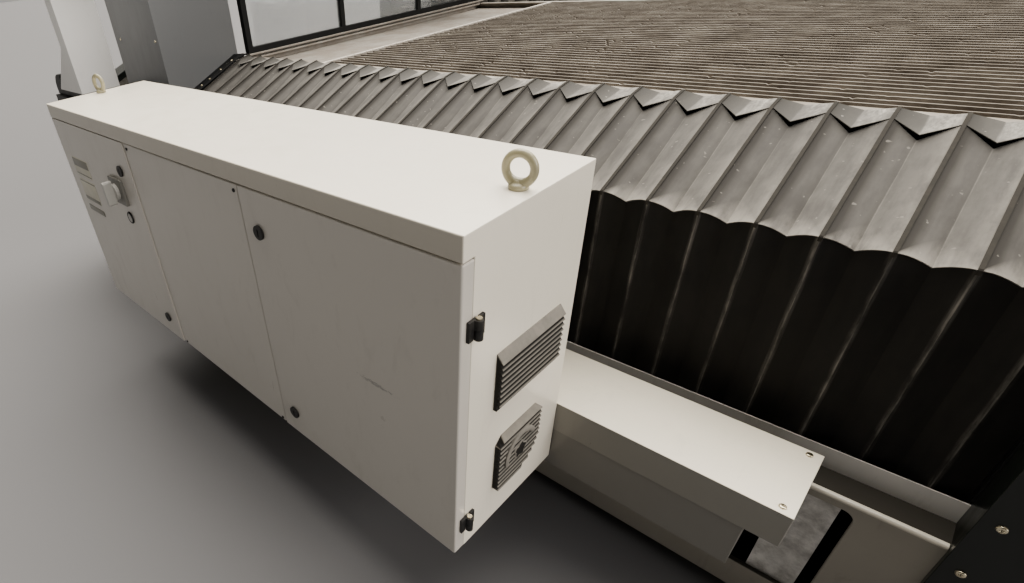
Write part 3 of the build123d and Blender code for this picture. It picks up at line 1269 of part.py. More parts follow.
def bridge_rails():
    """The two guide rails on the bridge's tank side."""
    y0 = COVER_BACK + BRIDGE_RAIL_GAP
    y1 = 2 * TANK_CENTRE - y0
    half = RAIL_WIDTH / 2
    return [
        block(BRIDGE_RIGHT, BRIDGE_RIGHT + RAIL_HEIGHT, y0, y1, z - half, z + half) for z in BRIDGE_RAIL_ZS
    ]


def tow_outline(sheet):
    """The column's front outline, narrow above and flared to the left at its foot, shrunk by a sheet's thickness."""
    slant = sheet * 1.4
    left, right = TOW_LEFT + slant, TOW_RIGHT - sheet
    bottom = TOW_FOOT - (1 if sheet else 0)
    return [
        (left, bottom), (left, TOW_FOOT + TOW_EDGE), (TOW_NECK_LEFT + sheet, TOW_SHOULDER - sheet),
        (TOW_NECK_LEFT + sheet, PORTAL_TOP - sheet), (right, PORTAL_TOP - sheet), (right, bottom),
    ]


def tow_column():
    """The light cover column that tows the cable chain, on an arm from the near upright's cover."""
    sheet = COVER_SHEET
    arm = block(TOW_RIGHT, TOW_ARM_RIGHT, TOW_FRONT, TOW_BACK, TOW_ARM_BOTTOM, PORTAL_TOP)
    arm_room = block(
        TOW_RIGHT - 2 * sheet, TOW_ARM_RIGHT - sheet, TOW_FRONT + sheet, TOW_BACK - sheet,
        TOW_ARM_BOTTOM + sheet, PORTAL_TOP - sheet,
    )
    column = prism_y(tow_outline(0), TOW_FRONT, TOW_BACK) + arm
    column = column - prism_y(tow_outline(sheet), TOW_FRONT + sheet, TOW_BACK - sheet) - arm_room
    front, back = slab("y", TOW_FRONT, TOW_FRONT + sheet), slab("y", TOW_BACK - sheet, TOW_BACK)
    top = slab("z", PORTAL_TOP - sheet, PORTAL_TOP)
    foot = slab("z", 0, TOW_SHOULDER)
    neck = slab("x", TOW_LEFT, TOW_RIGHT)
    above = column - foot - top
    sheets = (column & top).solids() + sheets_of(
        column & foot, front, back, slab("z", TOW_FOOT, TOW_FOOT + TOW_EDGE) & slab("x", TOW_LEFT, TOW_NECK_LEFT)
    )
    sheets += sheets_of(above & neck, front, back)
    sheets += sheets_of(above - neck, front, back, slab("z", 0, TOW_ARM_BOTTOM + sheet))
    margin = TOW_PAD_MARGIN
    pad = block(
        PORTAL_LEFT + margin, TOW_ARM_RIGHT - margin, TOW_BACK, COVER_FRONT, TOW_ARM_BOTTOM + margin,
        PORTAL_TOP - margin,
    )
    return sheets + [pad]


def tow_shoe():
    """The black foot of the column, with a rounded toe, a neck in the channel's slot and a hook below."""
    base, toe_top = CHANNEL_TOP + SHOE_GAP, CHANNEL_TOP + SHOE_GAP + SHOE_TOE_RISE
    toe = TOW_LEFT - SHOE_TOE
    front, back = TOW_FRONT + SHOE_INSET, TOW_BACK - SHOE_INSET
    shoe = block(toe, TOW_LEFT, front, back, base, toe_top)
    shoe = fillet(shoe.edges().filter_by(Axis.Y).sort_by(Axis.Z)[-2:].sort_by(Axis.X)[0], SHOE_TOE - SHOE_TOE_FLAT)
    shoe += block(TOW_LEFT, TOW_RIGHT - SHOE_HEEL, front, back, base, TOW_FOOT)
    x0, x1 = TOW_LEFT + HOOK_INSET, TOW_RIGHT - HOOK_INSET
    half_neck, half_hook = CHANNEL_SLOT / 2 - SHOE_CLEARANCE, CHAIN_WIDTH / 2
    neck_low, hook_low = CHANNEL_TOP - HOOK_TOP, CHANNEL_TOP - HOOK_BOTTOM
    shoe += block(x0, x1, TOW_MIDDLE_Y - half_neck, TOW_MIDDLE_Y + half_neck, neck_low, base)
    return shoe + block(x0, x1, TOW_MIDDLE_Y - half_hook, TOW_MIDDLE_Y + half_hook, hook_low, neck_low)


# Saddle and head


def y_saddle():
    """The plate that runs along the bridge, with four bearing blocks on its rails."""
    y0, y1 = HEAD_Y - SADDLE_WIDTH / 2, HEAD_Y + SADDLE_WIDTH / 2
    saddle = block(SADDLE_BACK, SADDLE_FRONT, y0, y1, SADDLE_BOTTOM, SADDLE_TOP)
    half = RAIL_WIDTH / 2 + RUNNING_GAP
    length, half_block = SADDLE_BLOCK_LENGTH, SADDLE_BLOCK_WIDTH / 2
    for z in BRIDGE_RAIL_ZS:
        for y in (y0, y1 - length):
            bearing = block(
                BRIDGE_RIGHT + CARRIAGE_BLOCK_FOOT, SADDLE_BACK, y, y + length, z - half_block, z + half_block
            )
            saddle += bearing - block(
                BRIDGE_RIGHT, BRIDGE_RIGHT + RAIL_HEIGHT + RUNNING_GAP, y - 1, y + length + 1, z - half, z + half
            )
    return saddle


def z_unit():
    """The Z axis housing on the saddle, with the ram's square way through its bottom."""
    x0, x1 = SADDLE_FRONT, SADDLE_FRONT + UNIT_DEPTH
    unit = block(x0, x1, HEAD_Y - UNIT_WIDTH / 2, HEAD_Y + UNIT_WIDTH / 2, UNIT_BOTTOM, PORTAL_TOP)
    outer_edges = unit.edges().filter_by(Axis.Z).sort_by(Axis.X)[-2:]
    unit = chamfer(outer_edges, UNIT_CHAMFER)
    half = RAM_SIDE / 2 + RUNNING_GAP
    way = block(HEAD_X - half, HEAD_X + half, HEAD_Y - half, HEAD_Y + half, UNIT_BOTTOM - 1, RAM_TOP + 2)
    return unit - way


def z_ram():
    """The square ram that carries the cutting head."""
    half = RAM_SIDE / 2
    ram = block(HEAD_X - half, HEAD_X + half, HEAD_Y - half, HEAD_Y + half, RAM_BOTTOM, RAM_TOP)
    return chamfer(ram.edges().filter_by(Axis.Z), 6)


def cutting_head():
    """Valve body, mixing chamber and collet, turned as one stack, with the abrasive inlet at the side."""
    top = RAM_BOTTOM
    stack = rod("z", HEAD_RADIUS, (HEAD_X, HEAD_Y), top - HEAD_HEIGHT * 0.45, top)
    stack += rod("z", HEAD_RADIUS * 0.7, (HEAD_X, HEAD_Y), top - HEAD_HEIGHT * 0.8, top - HEAD_HEIGHT * 0.4)
    stack += rod("z", HEAD_RADIUS * 0.45, (HEAD_X, HEAD_Y), top - HEAD_HEIGHT, top - HEAD_HEIGHT * 0.75)
    inlet_z = top - HEAD_HEIGHT * 0.62
    inlet_end = HEAD_X + HEAD_RADIUS + INLET_REACH
    stack += rod("x", INLET_RADIUS, (HEAD_Y, inlet_z), HEAD_X + HEAD_RADIUS * 0.5, inlet_end)
    bore = rod("z", NOZZLE_RADIUS + 0.02, (HEAD_X, HEAD_Y), top - HEAD_HEIGHT - 1, top - HEAD_HEIGHT * 0.5)
    return stack - bore


def focusing_tube():
    """The hard nozzle tube in the collet, with its fine bore."""
    top = RAM_BOTTOM - HEAD_HEIGHT * 0.5
    tube = rod("z", NOZZLE_RADIUS, (HEAD_X, HEAD_Y), NOZZLE_TIP, top)
    return tube - rod("z", NOZZLE_BORE, (HEAD_X, HEAD_Y), NOZZLE_TIP - 1, top - NOZZLE_RADIUS)


# Screws


def screw(axis, head_radius, head_height, centre, seat, outward):
    """A pan-head screw: a low domed head and a short shank; outward is +1 or -1 along the axis."""
    ends = sorted((seat, seat + outward * head_height))
    head = rod(axis, head_radius, centre, *ends)
    rim = head.edges().filter_by(GeomType.CIRCLE)
    along = {"x": Axis.X, "y": Axis.Y, "z": Axis.Z}[axis]
    top = rim.sort_by(along)[-1 if outward > 0 else 0]
    return fillet(top, head_height * 0.6)


def cover_screws():
    """Heads on the raceway lid, the middle panel and the end cover's apron."""
    screws = []
    for x in (RACEWAY_RIGHT - LID_SCREW_INSET, RACEWAY_LEFT + LID_SCREW_INSET):
        for y in (RACEWAY_BACK - LID_SCREW_BACK, CABINET_DEPTH + LID_SCREW_FRONT):
            screws.append(screw("z", 6.5, 3.5, (x, y), RACEWAY_TOP, 1))
    left, right = door_edges(1)
    for x in (left + PANEL_SCREW_INSETS[0], right - PANEL_SCREW_INSETS[1]):
        for z in (DOOR_TOP - PANEL_SCREW_DROP, DOOR_BOTTOM + PANEL_SCREW_RISE):
            screws.append(screw("y", 4.5, 3, (x, z), 0, -1))
    for index in range(APRON_SCREWS):
        z = APRON_SCREW_FIRST + index * APRON_SCREW_PITCH
        screws.append(screw("y", 7.5, 4.5, (RIGHT_END_X + APRON_SCREW_INSET, z), END_COVER_FRONT, -1))
    return screws


def export_all():
    """Write every node."""
    save("cabinet_shell", *cabinet_shell())
    save("cabinet_middle_panel", panel_pan(1, SHELL_FRONT))
    save("right_door", right_door())
    save("left_door", left_door())
    heights = hinge_heights()
    save("right_door_hinge_leaves", *[hinge_leaf(z, True) for z in heights])
    save("left_door_hinge_leaves", *[to_left_end(hinge_leaf(z, True)) for z in heights])
    fixed = [hinge_leaf(z, False) for z in heights]
    save("hinge_fixed_leaves", *fixed, *[to_left_end(leaf) for leaf in fixed])
    pins = [hinge_pin(z) for z in heights]
    save("hinge_pins", *pins, *[to_left_end(pin) for pin in pins])
    right_x = -DOOR_PITCH + RIGHT_LOCK_INSET
    left_x = CABINET_LEFT + DOOR_PITCH - LEFT_LOCK_INSET
    save("right_upper_lock", lock(right_x, LOCK_DROP_UPPER, RIGHT_LOCK_INSET))
    save("right_lower_lock", lock(right_x, LOCK_DROP_LOWER, RIGHT_LOCK_INSET))
    save("left_upper_lock", lock(left_x, LOCK_DROP_UPPER, LEFT_LOCK_INSET))
    save("left_lower_lock", lock(left_x, LOCK_DROP_LOWER, LEFT_LOCK_INSET))
    save("main_switch_plate", switch_plate())
    save("main_switch_handle", switch_handle())
    save("eye_bolts", *[eye_bolt(x) for x in (CABINET_LEFT + EYE_INSET, -EYE_INSET)])
    save("filter_grille", filter_grille())
    save("fan_guard", fan_guard())
    save("fan_frame", fan_frame())
    save("fan_impeller", fan_impeller())
    save("mounting_plate", *mounting_plate())
    save("drive_modules", *drive_modules())
    save("terminal_row", *terminal_row())
    save("raceway_body", raceway_body())
    save("raceway_lid", raceway_lid())
    save("cabinet_carriers", *cabinet_carriers())
    save("chain_channel", chain_channel())
    save("energy_chain", energy_chain())
    beam = near_beam()
    save("near_beam", beam)
    save("far_beam", far(beam))
    save("levelling_feet", *levelling_feet())
    save("base_ties", *base_ties())
    save("drip_strips", *both_sides(drip_strip()))
    rails = x_rails()
    save("x_guide_rails", *rails, *[far(rail) for rail in rails])
    save("magnet_tracks", *both_sides(magnet_track()))
    save("right_end_boxes", *both_sides(right_end_box()))
    housing = left_end_box()
    save("left_end_boxes", *housing, *[far(sheet) for sheet in housing])
    save("right_bellows", *both_sides(bellows(BELLOWS_LEFT, PLEAT_PITCH)))
    save("left_bellows", *both_sides(bellows(PACKED_LEFT, PACKED_PITCH)))
    fixed_flanges = [bellows_flange(x, FLANGE_RISE) for x in (BELLOWS_RIGHT, LEFT_END_X)]
    save("bellows_fixed_flanges", *fixed_flanges, *[far(flange) for flange in fixed_flanges])
    moving = [clamp_angle(PORTAL_RIGHT, PORTAL_RIGHT), clamp_angle(PACKED_RIGHT, PORTAL_LEFT - CLAMP_LENGTH)]
    save("bellows_moving_flanges", *moving, *[far(flange) for flange in moving])
    save("water_tank", water_tank())
    save("bed_slats", *bed_slats())
    save("slat_combs", *slat_combs())
    save("splash_guard_frame", *splash_guard_frame())
    save("splash_guard_panels", *splash_guard_panels())
    carriage = x_carriage()
    save("x_carriages", *carriage, *[far(piece) for piece in carriage])
    save("motor_forcers", *both_sides(motor_forcer()))
    save("portal_frame", *portal_frame())
    cover = upright_cover()
    save("near_upright_cover", *cover)
    save("far_upright_cover", *[far(sheet) for sheet in cover])
    save("bridge_cover", *bridge_cover())
    save("bridge_rails", *bridge_rails())
    save("tow_column", *tow_column())
    save("tow_shoe", tow_shoe())
    save("y_saddle", y_saddle())
    save("z_unit", z_unit())
    save("z_ram", z_ram())
    save("cutting_head", cutting_head())
    save("focusing_tube", focusing_tube())
    save("cover_screws", *cover_screws())


os.makedirs("parts", exist_ok=True)
export_all()
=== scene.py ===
"""The look of a gantry waterjet cutting machine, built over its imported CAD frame.

Lengths in the classes are millimetres in the machine's own datum: X along the beams with 0 at the control
cabinet's right end, Y from the cabinet's doors towards the tank, Z up from the floor. Datum.place() turns them
into the frame's metres.
"""

from __future__ import annotations

import json
import logging
import math
from dataclasses import dataclass, field
from enum import Enum
from functools import partial
from typing import Any, Callable, Iterable, Sequence

import bmesh
import bpy
from mathutils import Matrix, Vector
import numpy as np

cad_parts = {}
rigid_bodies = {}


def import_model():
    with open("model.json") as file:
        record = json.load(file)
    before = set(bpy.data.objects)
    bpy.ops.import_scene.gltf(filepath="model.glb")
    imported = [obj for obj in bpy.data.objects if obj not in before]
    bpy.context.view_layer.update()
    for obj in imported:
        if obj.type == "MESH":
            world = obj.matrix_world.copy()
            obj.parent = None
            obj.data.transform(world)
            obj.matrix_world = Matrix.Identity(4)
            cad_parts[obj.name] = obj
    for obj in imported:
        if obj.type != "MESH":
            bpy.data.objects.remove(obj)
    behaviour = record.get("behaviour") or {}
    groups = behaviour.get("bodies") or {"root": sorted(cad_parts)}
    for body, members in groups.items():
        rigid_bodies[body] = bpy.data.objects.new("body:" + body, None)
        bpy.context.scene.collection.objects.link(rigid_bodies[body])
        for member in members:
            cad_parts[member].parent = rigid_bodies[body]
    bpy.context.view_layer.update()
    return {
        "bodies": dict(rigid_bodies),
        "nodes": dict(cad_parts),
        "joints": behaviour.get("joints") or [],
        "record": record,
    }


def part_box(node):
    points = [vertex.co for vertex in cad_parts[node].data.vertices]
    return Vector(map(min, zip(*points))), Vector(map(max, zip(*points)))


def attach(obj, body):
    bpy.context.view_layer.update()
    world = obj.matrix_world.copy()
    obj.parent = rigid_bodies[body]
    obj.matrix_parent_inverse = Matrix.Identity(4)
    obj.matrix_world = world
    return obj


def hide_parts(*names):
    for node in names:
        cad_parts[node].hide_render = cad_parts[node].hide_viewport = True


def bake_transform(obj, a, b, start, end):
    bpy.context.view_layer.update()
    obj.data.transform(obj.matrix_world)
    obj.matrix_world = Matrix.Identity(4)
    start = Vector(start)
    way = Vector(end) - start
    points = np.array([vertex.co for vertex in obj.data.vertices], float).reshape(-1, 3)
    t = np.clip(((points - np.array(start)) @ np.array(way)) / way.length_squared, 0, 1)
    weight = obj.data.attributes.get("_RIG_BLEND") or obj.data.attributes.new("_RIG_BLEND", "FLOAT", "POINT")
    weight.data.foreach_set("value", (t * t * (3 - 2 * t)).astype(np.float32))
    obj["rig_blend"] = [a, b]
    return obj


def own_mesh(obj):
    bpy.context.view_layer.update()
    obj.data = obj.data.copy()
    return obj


LOG = logging.getLogger("waterjet_machine")
MM = 1000.0  # millimetres in a metre
Pair = tuple[float, float]
Point = tuple[float, float, float]
Box = tuple[float, float, float, float]
Outline = tuple[Pair, ...]
Corners = list[bmesh.types.BMVert]


class Axis(Enum):
    """The three directions that a screw can face; the last is square to the bellows' roof."""

    FRONT = (0.0, -1.0, 0.0)
    UP = (0.0, 0.0, 1.0)
    ROOF = (0.0, -0.376, 0.927)


@dataclass(frozen=True)
class Datum:
    """Where the machine's own datum lies in the frame."""

    shift_x: float = 1085.0
    shift_y: float = -1705.0
    tank_centre: float = 2010.0

    def place(self, x: float, y: float, z: float) -> Vector:
        """Turn a point of the datum, in millimetres, into the frame's metres."""
        return Vector(((x + self.shift_x) / MM, (y + self.shift_y) / MM, z / MM))


DATUM = Datum()


def linear(code: str) -> tuple[float, float, float, float]:
    """Turn an sRGB hex colour into linear RGBA.

    Args:
        code: Six hex digits, such as "d8d2c4".

    Returns:
        The linear colour, with an alpha of 1.
    """
    channels = [int(code[i:i + 2], 16) / 255 for i in (0, 2, 4)]
    red, green, blue = (c / 12.92 if c <= 0.04045 else ((c + 0.055) / 1.055) ** 2.4 for c in channels)
    return (red, green, blue, 1.0)


def add_node(tree: bpy.types.NodeTree, kind: str, links: dict[Any, Any] | None = None, stops: Outline = (),
             **settings: Any) -> bpy.types.Node:
    """Add a node to a shader or geometry tree.

    Args:
        tree: The tree that gets the node.
        kind: The node's type name.
        links: For each input, by name or index, a value to hold, a socket to link from, or a node whose first
            output in use it is.
        stops: Each stop's position and grey, where the node has a colour ramp.
        settings: Properties of the node itself.

    Returns:
        The new node.
    """
    node = tree.nodes.new(kind)
    for name, value in settings.items():
        setattr(node, name, value)
    for name, value in (links or {}).items():
        if isinstance(value, bpy.types.Node):
            value = next(output for output in value.outputs if output.enabled)
        if isinstance(value, bpy.types.NodeSocket):
            tree.links.new(value, node.inputs[name])
        else:
            node.inputs[name].default_value = value
    if stops:
        elements = node.color_ramp.elements
        elements[0].position, elements[1].position = stops[0][0], stops[-1][0]
        for position, _ in stops[1:-1]:
            elements.new(position)
        for i, (_, grey) in enumerate(stops):
            elements[i].color = (grey, grey, grey, 1.0)
    return node


def new_tree(name: str, **inputs: str) -> tuple[bpy.types.NodeTree, bpy.types.Node]:
    """Start a geometry-node tree that takes and gives geometry.

    Args:
        name: The tree's name.
        inputs: The kind of socket of each further input, by the input's name.

    Returns:
        The tree, and the node that holds its inputs.
    """
    tree = bpy.data.node_groups.new(name, "GeometryNodeTree")
    for title, kind in {"Geometry": "Geometry", **inputs}.items():
        tree.interface.new_socket(name=title, in_out="INPUT", socket_type=f"NodeSocket{kind}")
    tree.interface.new_socket(name="Geometry", in_out="OUTPUT", socket_type="NodeSocketGeometry")
    return tree, add_node(tree, "NodeGroupInput")


def between(start: float, end: float, share: float) -> float:
    """Give the value that lies a share of the way from one to another."""
    return start + (end - start) * share


def between_points(start: Pair, end: Pair, share: float) -> Pair:
    """Give the point that lies a share of the way from one to another."""
    return between(start[0], end[0], share), between(start[1], end[1], share)


def around(steps: int) -> list[Pair]:
    """Give the cosine and sine of each step round a circle."""
    return [(math.cos(math.tau * i / steps), math.sin(math.tau * i / steps)) for i in range(steps)]


def add_points(shape: bmesh.types.BMesh, places: Iterable[Point]) -> Corners:
    """Add a vertex to a shape at each place of the datum."""
    return [shape.verts.new(DATUM.place(*place)) for place in places]


def bridge(shape: bmesh.types.BMesh, rings: Sequence[Corners], closed: bool = True) -> None:
    """Join each ring of corners to the next with quads.

    Args:
        shape: The shape.
        rings: The rings, all with the same number of corners.
        closed: Whether a ring's last corner joins its first.
    """
    for low, high in zip(rings, rings[1:]):
        for i in range(len(low) if closed else len(low) - 1):
            j = (i + 1) % len(low)
            shape.faces.new((low[i], low[j], high[j], high[i]))


def fan(shape: bmesh.types.BMesh, ring: Corners, tip: bmesh.types.BMVert) -> None:
    """Close a ring of corners with triangles that meet in one tip."""
    for i, corner in enumerate(ring):
        shape.faces.new((corner, ring[(i + 1) % len(ring)], tip))


def face_outwards(shape: bmesh.types.BMesh) -> None:
    """Turn every face of a shape outwards."""
    bmesh.ops.recalc_face_normals(shape, faces=shape.faces)


def skin(shape: bmesh.types.BMesh, sections: Sequence[Corners]) -> None:
    """Join a body's sections, close both of its ends and turn its faces outwards.

    Args:
        shape: The shape.
        sections: Its sections' corners, from one end to the other.
    """
    bridge(shape, sections)
    shape.faces.new(sections[0][::-1])
    shape.faces.new(sections[-1])
    face_outwards(shape)


@dataclass(frozen=True)
class Finish:
    """A surface finish: what every kind shares."""

    name: str
    slot: str

    def material(self) -> bpy.types.Material:
        """Give the finish's material, building it on first use.

        Returns:
            The material.
        """
        found = bpy.data.materials.get(self.name)
        if found:
            return found
        made = bpy.data.materials.new(self.name)
        made.use_nodes = True
        made.node_tree.nodes.clear()
        shader = self.shade(made.node_tree)
        add_node(made.node_tree, "ShaderNodeOutputMaterial", {"Surface": shader})
        return made

    def shade(self, tree: bpy.types.NodeTree) -> bpy.types.Node:
        """Build the nodes and return the shader.

        Args:
            tree: The material's node tree.

        Returns:
            The node whose first output is the surface.
        """
        raise NotImplementedError


@dataclass(frozen=True)
class PowderCoat(Finish):
    """Powder-coated sheet steel: baked polyester, smooth with a fine orange peel, dusty where it lies flat; a
    finish may grey its upright or front faces with painted shade.
    """

    paint: str = "e4dfd2"
    shade_paint: str = "d9d3c5"
    dust: str = "b9b2a5"
    dust_cover: float = 0.35
    roughness: float = 0.32
    sheen_coat: float = 0.25
    peel_mm: float = 1.6
    peel_depth: float = 0.00004
    grime_and_shade: str = "6e675c"
    grime_cover: float = 0.12
    upright_shade: float = 0.0
    front_shade: float = 0.0
    specular: float = 0.5
    drift: Pair = (0.38, 0.75)
    scuff_at: Point | None = None
    scuff_mm: float = 70.0
    scuff_dirt: str = "4d4a45"

    def shade(self, tree: bpy.types.NodeTree) -> bpy.types.Node:
        """Build paint, handling marks, dust where it lies flat, painted shade on upright and front faces, and
        orange peel.

        Args:
            tree: The material's node tree.

        Returns:
            The shader.
        """
        add = partial(add_node, tree)
        place = add("ShaderNodeTexCoord")
        where = place.outputs["Object"]
        cloud = add("ShaderNodeTexNoise", {"Vector": where, "Scale": 1.7, "Detail": 5.0, "Roughness": 0.55})
        tone = add("ShaderNodeMix", {
            0: cloud, "A": linear(self.paint), "B": linear(self.shade_paint)}, data_type="RGBA")
        # smears left by hands and cloths, 20 to 60 mm across, drawn out upright
        drawn = add("ShaderNodeMapping", {"Vector": where, "Scale": (9.0, 9.0, 3.0)})
        smear = add("ShaderNodeTexNoise", {
            "Vector": drawn, "Scale": 2.2, "Detail": 8.0, "Roughness": 0.7, "Distortion": 0.6})
        smear_mask = add("ShaderNodeMapRange", {
            "Value": smear, "From Min": 0.56, "From Max": 0.82, "To Max": self.grime_cover})
        marked = add("ShaderNodeMix", {0: smear_mask, "A": tone, "B": linear(self.grime_and_shade)}, data_type="RGBA")
        # painted shade: faces that stand upright, and faces to the front, are greyed towards the smears'
        # colour as far as the finish asks
        facing = add("ShaderNodeSeparateXYZ", {0: place.outputs["Normal"]})
        upright = add("ShaderNodeMapRange", {
            "Value": facing.outputs["Z"], "From Min": 0.25, "From Max": 0.6,
            "To Min": self.upright_shade, "To Max": 0.0})
        front = add("ShaderNodeMapRange", {
            "Value": facing.outputs["Y"], "From Min": -0.6, "From Max": -0.25,
            "To Min": self.front_shade, "To Max": 0.0})
        film = add("ShaderNodeMath", {0: upright, 1: front}, operation="MAXIMUM")
        shaded_colour = add("ShaderNodeMix", {0: film, "A": marked, "B": linear(self.grime_and_shade)}, data_type="RGBA")
        # dust settles on what faces up, in drifts 100 to 300 mm wide; where a finish's dust colour is near
        # black, as on the beams, the same mask paints shade on their tops
        drift = add("ShaderNodeTexNoise", {"Vector": where, "Scale": 7.0, "Detail": 9.0, "Roughness": 0.62})
        flat = add("ShaderNodeMapRange", {"Value": facing.outputs["Z"], "From Min": 0.55, "From Max": 1.0})
        drift_mask = add("ShaderNodeMapRange", {
            "Value": drift, "From Min": self.drift[0], "From Max": self.drift[1],
            "To Max": self.dust_cover})
        dust_and_shade_mask = add("ShaderNodeMath", {0: flat, 1: drift_mask}, operation="MULTIPLY")
        dusty = add("ShaderNodeMix", {0: dust_and_shade_mask, "A": shaded_colour, "B": linear(self.dust)}, data_type="RGBA")
        colour = self.scuffed(tree, where, dusty) if self.scuff_at else dusty
        gloss = add("ShaderNodeMapRange", {
            "Value": smear, "From Min": 0.3, "From Max": 0.8,
            "To Min": self.roughness - 0.05, "To Max": self.roughness + 0.12})
        dulled = add("ShaderNodeMath", {0: gloss, 1: dust_and_shade_mask}, operation="ADD", use_clamp=True)
        peel = add("ShaderNodeTexNoise", {
            "Vector": where, "Scale": MM / self.peel_mm, "Detail": 2.0, "Roughness": 0.4})
        relief = add("ShaderNodeBump", {"Height": peel, "Strength": 0.35, "Distance": self.peel_depth})
        return add("ShaderNodeBsdfPrincipled", {
            "Base Color": colour, "Roughness": dulled, "Normal": relief,
            "IOR": 1.5, "Specular IOR Level": self.specular,
            "Coat Weight": self.sheen_coat, "Coat Roughness": 0.18})

    def scuffed(self, tree: bpy.types.NodeTree, where: bpy.types.NodeSocket,
                colour: bpy.types.Node) -> bpy.types.Node:
        """Add a short level run of rubbed, dirty scratches.

        Args:
            tree: The material's node tree.
            where: The object coordinates.
            colour: The node that gives the colour so far.

        Returns:
            The node that gives the colour with the patch.
        """
        add = partial(add_node, tree)
        spot = DATUM.place(*self.scuff_at)
        centred = add("ShaderNodeVectorMath", {0: where, 1: tuple(spot)}, operation="SUBTRACT")
        flattened = add("ShaderNodeVectorMath", {0: centred, 1: (1.0, 1.0, 9.0)}, operation="MULTIPLY")
        reach = add("ShaderNodeVectorMath", {0: flattened}, operation="LENGTH")
        near = add("ShaderNodeMapRange", {
            "Value": reach, "From Max": self.scuff_mm / MM, "To Min": 1.0, "To Max": 0.0})
        drawn = add("ShaderNodeMapping", {"Vector": where, "Rotation": (0, 0.12, 0), "Scale": (120, 60, 420)})
        lines = add("ShaderNodeTexNoise", {"Vector": drawn, "Scale": 1.0, "Detail": 4.0})
        mask = add("ShaderNodeMath", {0: near, 1: lines}, operation="MULTIPLY")
        cut = add("ShaderNodeMapRange", {"Value": mask, "From Min": 0.30, "From Max": 0.44, "To Max": 0.55})
        return add("ShaderNodeMix", {0: cut, "A": colour, "B": linear(self.scuff_dirt)}, data_type="RGBA")


@dataclass(frozen=True)
class Steel(Finish):
    """Bare or plated steel and aluminium: machined, brushed, zinc-plated or corroded, by its numbers."""

    metal: str = "b9b7b2"
    stain: str = "6a5444"
    stain_cover: float = 0.2
    stain_mm: float = 40.0
    roughness: float = 0.3
    grain: Point = (4.0, 4.0, 120.0)
    grain_depth: float = 0.00003
    metallic: float = 1.0
    worn_above: float | None = None
    worn_mm: float = 9.0
    worn_tone: str = "b5aea2"

    def shade(self, tree: bpy.types.NodeTree) -> bpy.types.Node:
        """Build metal with a drawn grain, patches of dull stain and, where asked, a bare upper edge.

        Args:
            tree: The material's node tree.

        Returns:
            The shader.
        """
        add = partial(add_node, tree)
        where = add("ShaderNodeTexCoord").outputs["Object"]
        patch = add("ShaderNodeTexNoise", {
            "Vector": where, "Scale": MM / self.stain_mm, "Detail": 9.0, "Roughness": 0.68})
        mask = add("ShaderNodeMapRange", {
            "Value": patch, "From Min": 0.62 - self.stain_cover * 0.5,
            "From Max": 0.80 - self.stain_cover * 0.35})
        drawn = add("ShaderNodeMapping", {"Vector": where, "Scale": self.grain})
        grain = add("ShaderNodeTexNoise", {"Vector": drawn, "Scale": 12.0, "Detail": 3.0})
        tone = add("ShaderNodeMix", {
            0: mask, "A": linear(self.metal), "B": linear(self.stain)}, data_type="RGBA")
        if self.worn_above:
            height = add("ShaderNodeSeparateXYZ", {0: where})
            upper = add("ShaderNodeMapRange", {
                "Value": height.outputs["Z"], "From Min": (self.worn_above - self.worn_mm) / MM,
                "From Max": self.worn_above / MM})
            bare = add("ShaderNodeMath", {0: upper, 1: patch}, operation="MULTIPLY")
            tone = add("ShaderNodeMix", {0: bare, "A": tone, "B": linear(self.worn_tone)}, data_type="RGBA")
        rough = add("ShaderNodeMapRange", {
            "Value": grain, "From Min": 0.3, "From Max": 0.7,
            "To Min": max(0.05, self.roughness - 0.08), "To Max": self.roughness + 0.1})
        rougher = add("ShaderNodeMath", {
            0: mask, 1: 0.35, 2: rough}, operation="MULTIPLY_ADD", use_clamp=True)
        bright = add("ShaderNodeMapRange", {
            "Value": mask, "To Min": self.metallic, "To Max": self.metallic * 0.25})
        relief = add("ShaderNodeBump", {"Height": grain, "Strength": 0.5, "Distance": self.grain_depth})
        return add("ShaderNodeBsdfPrincipled", {
            "Base Color": tone, "Metallic": bright,
            "Roughness": rougher, "Normal": relief})


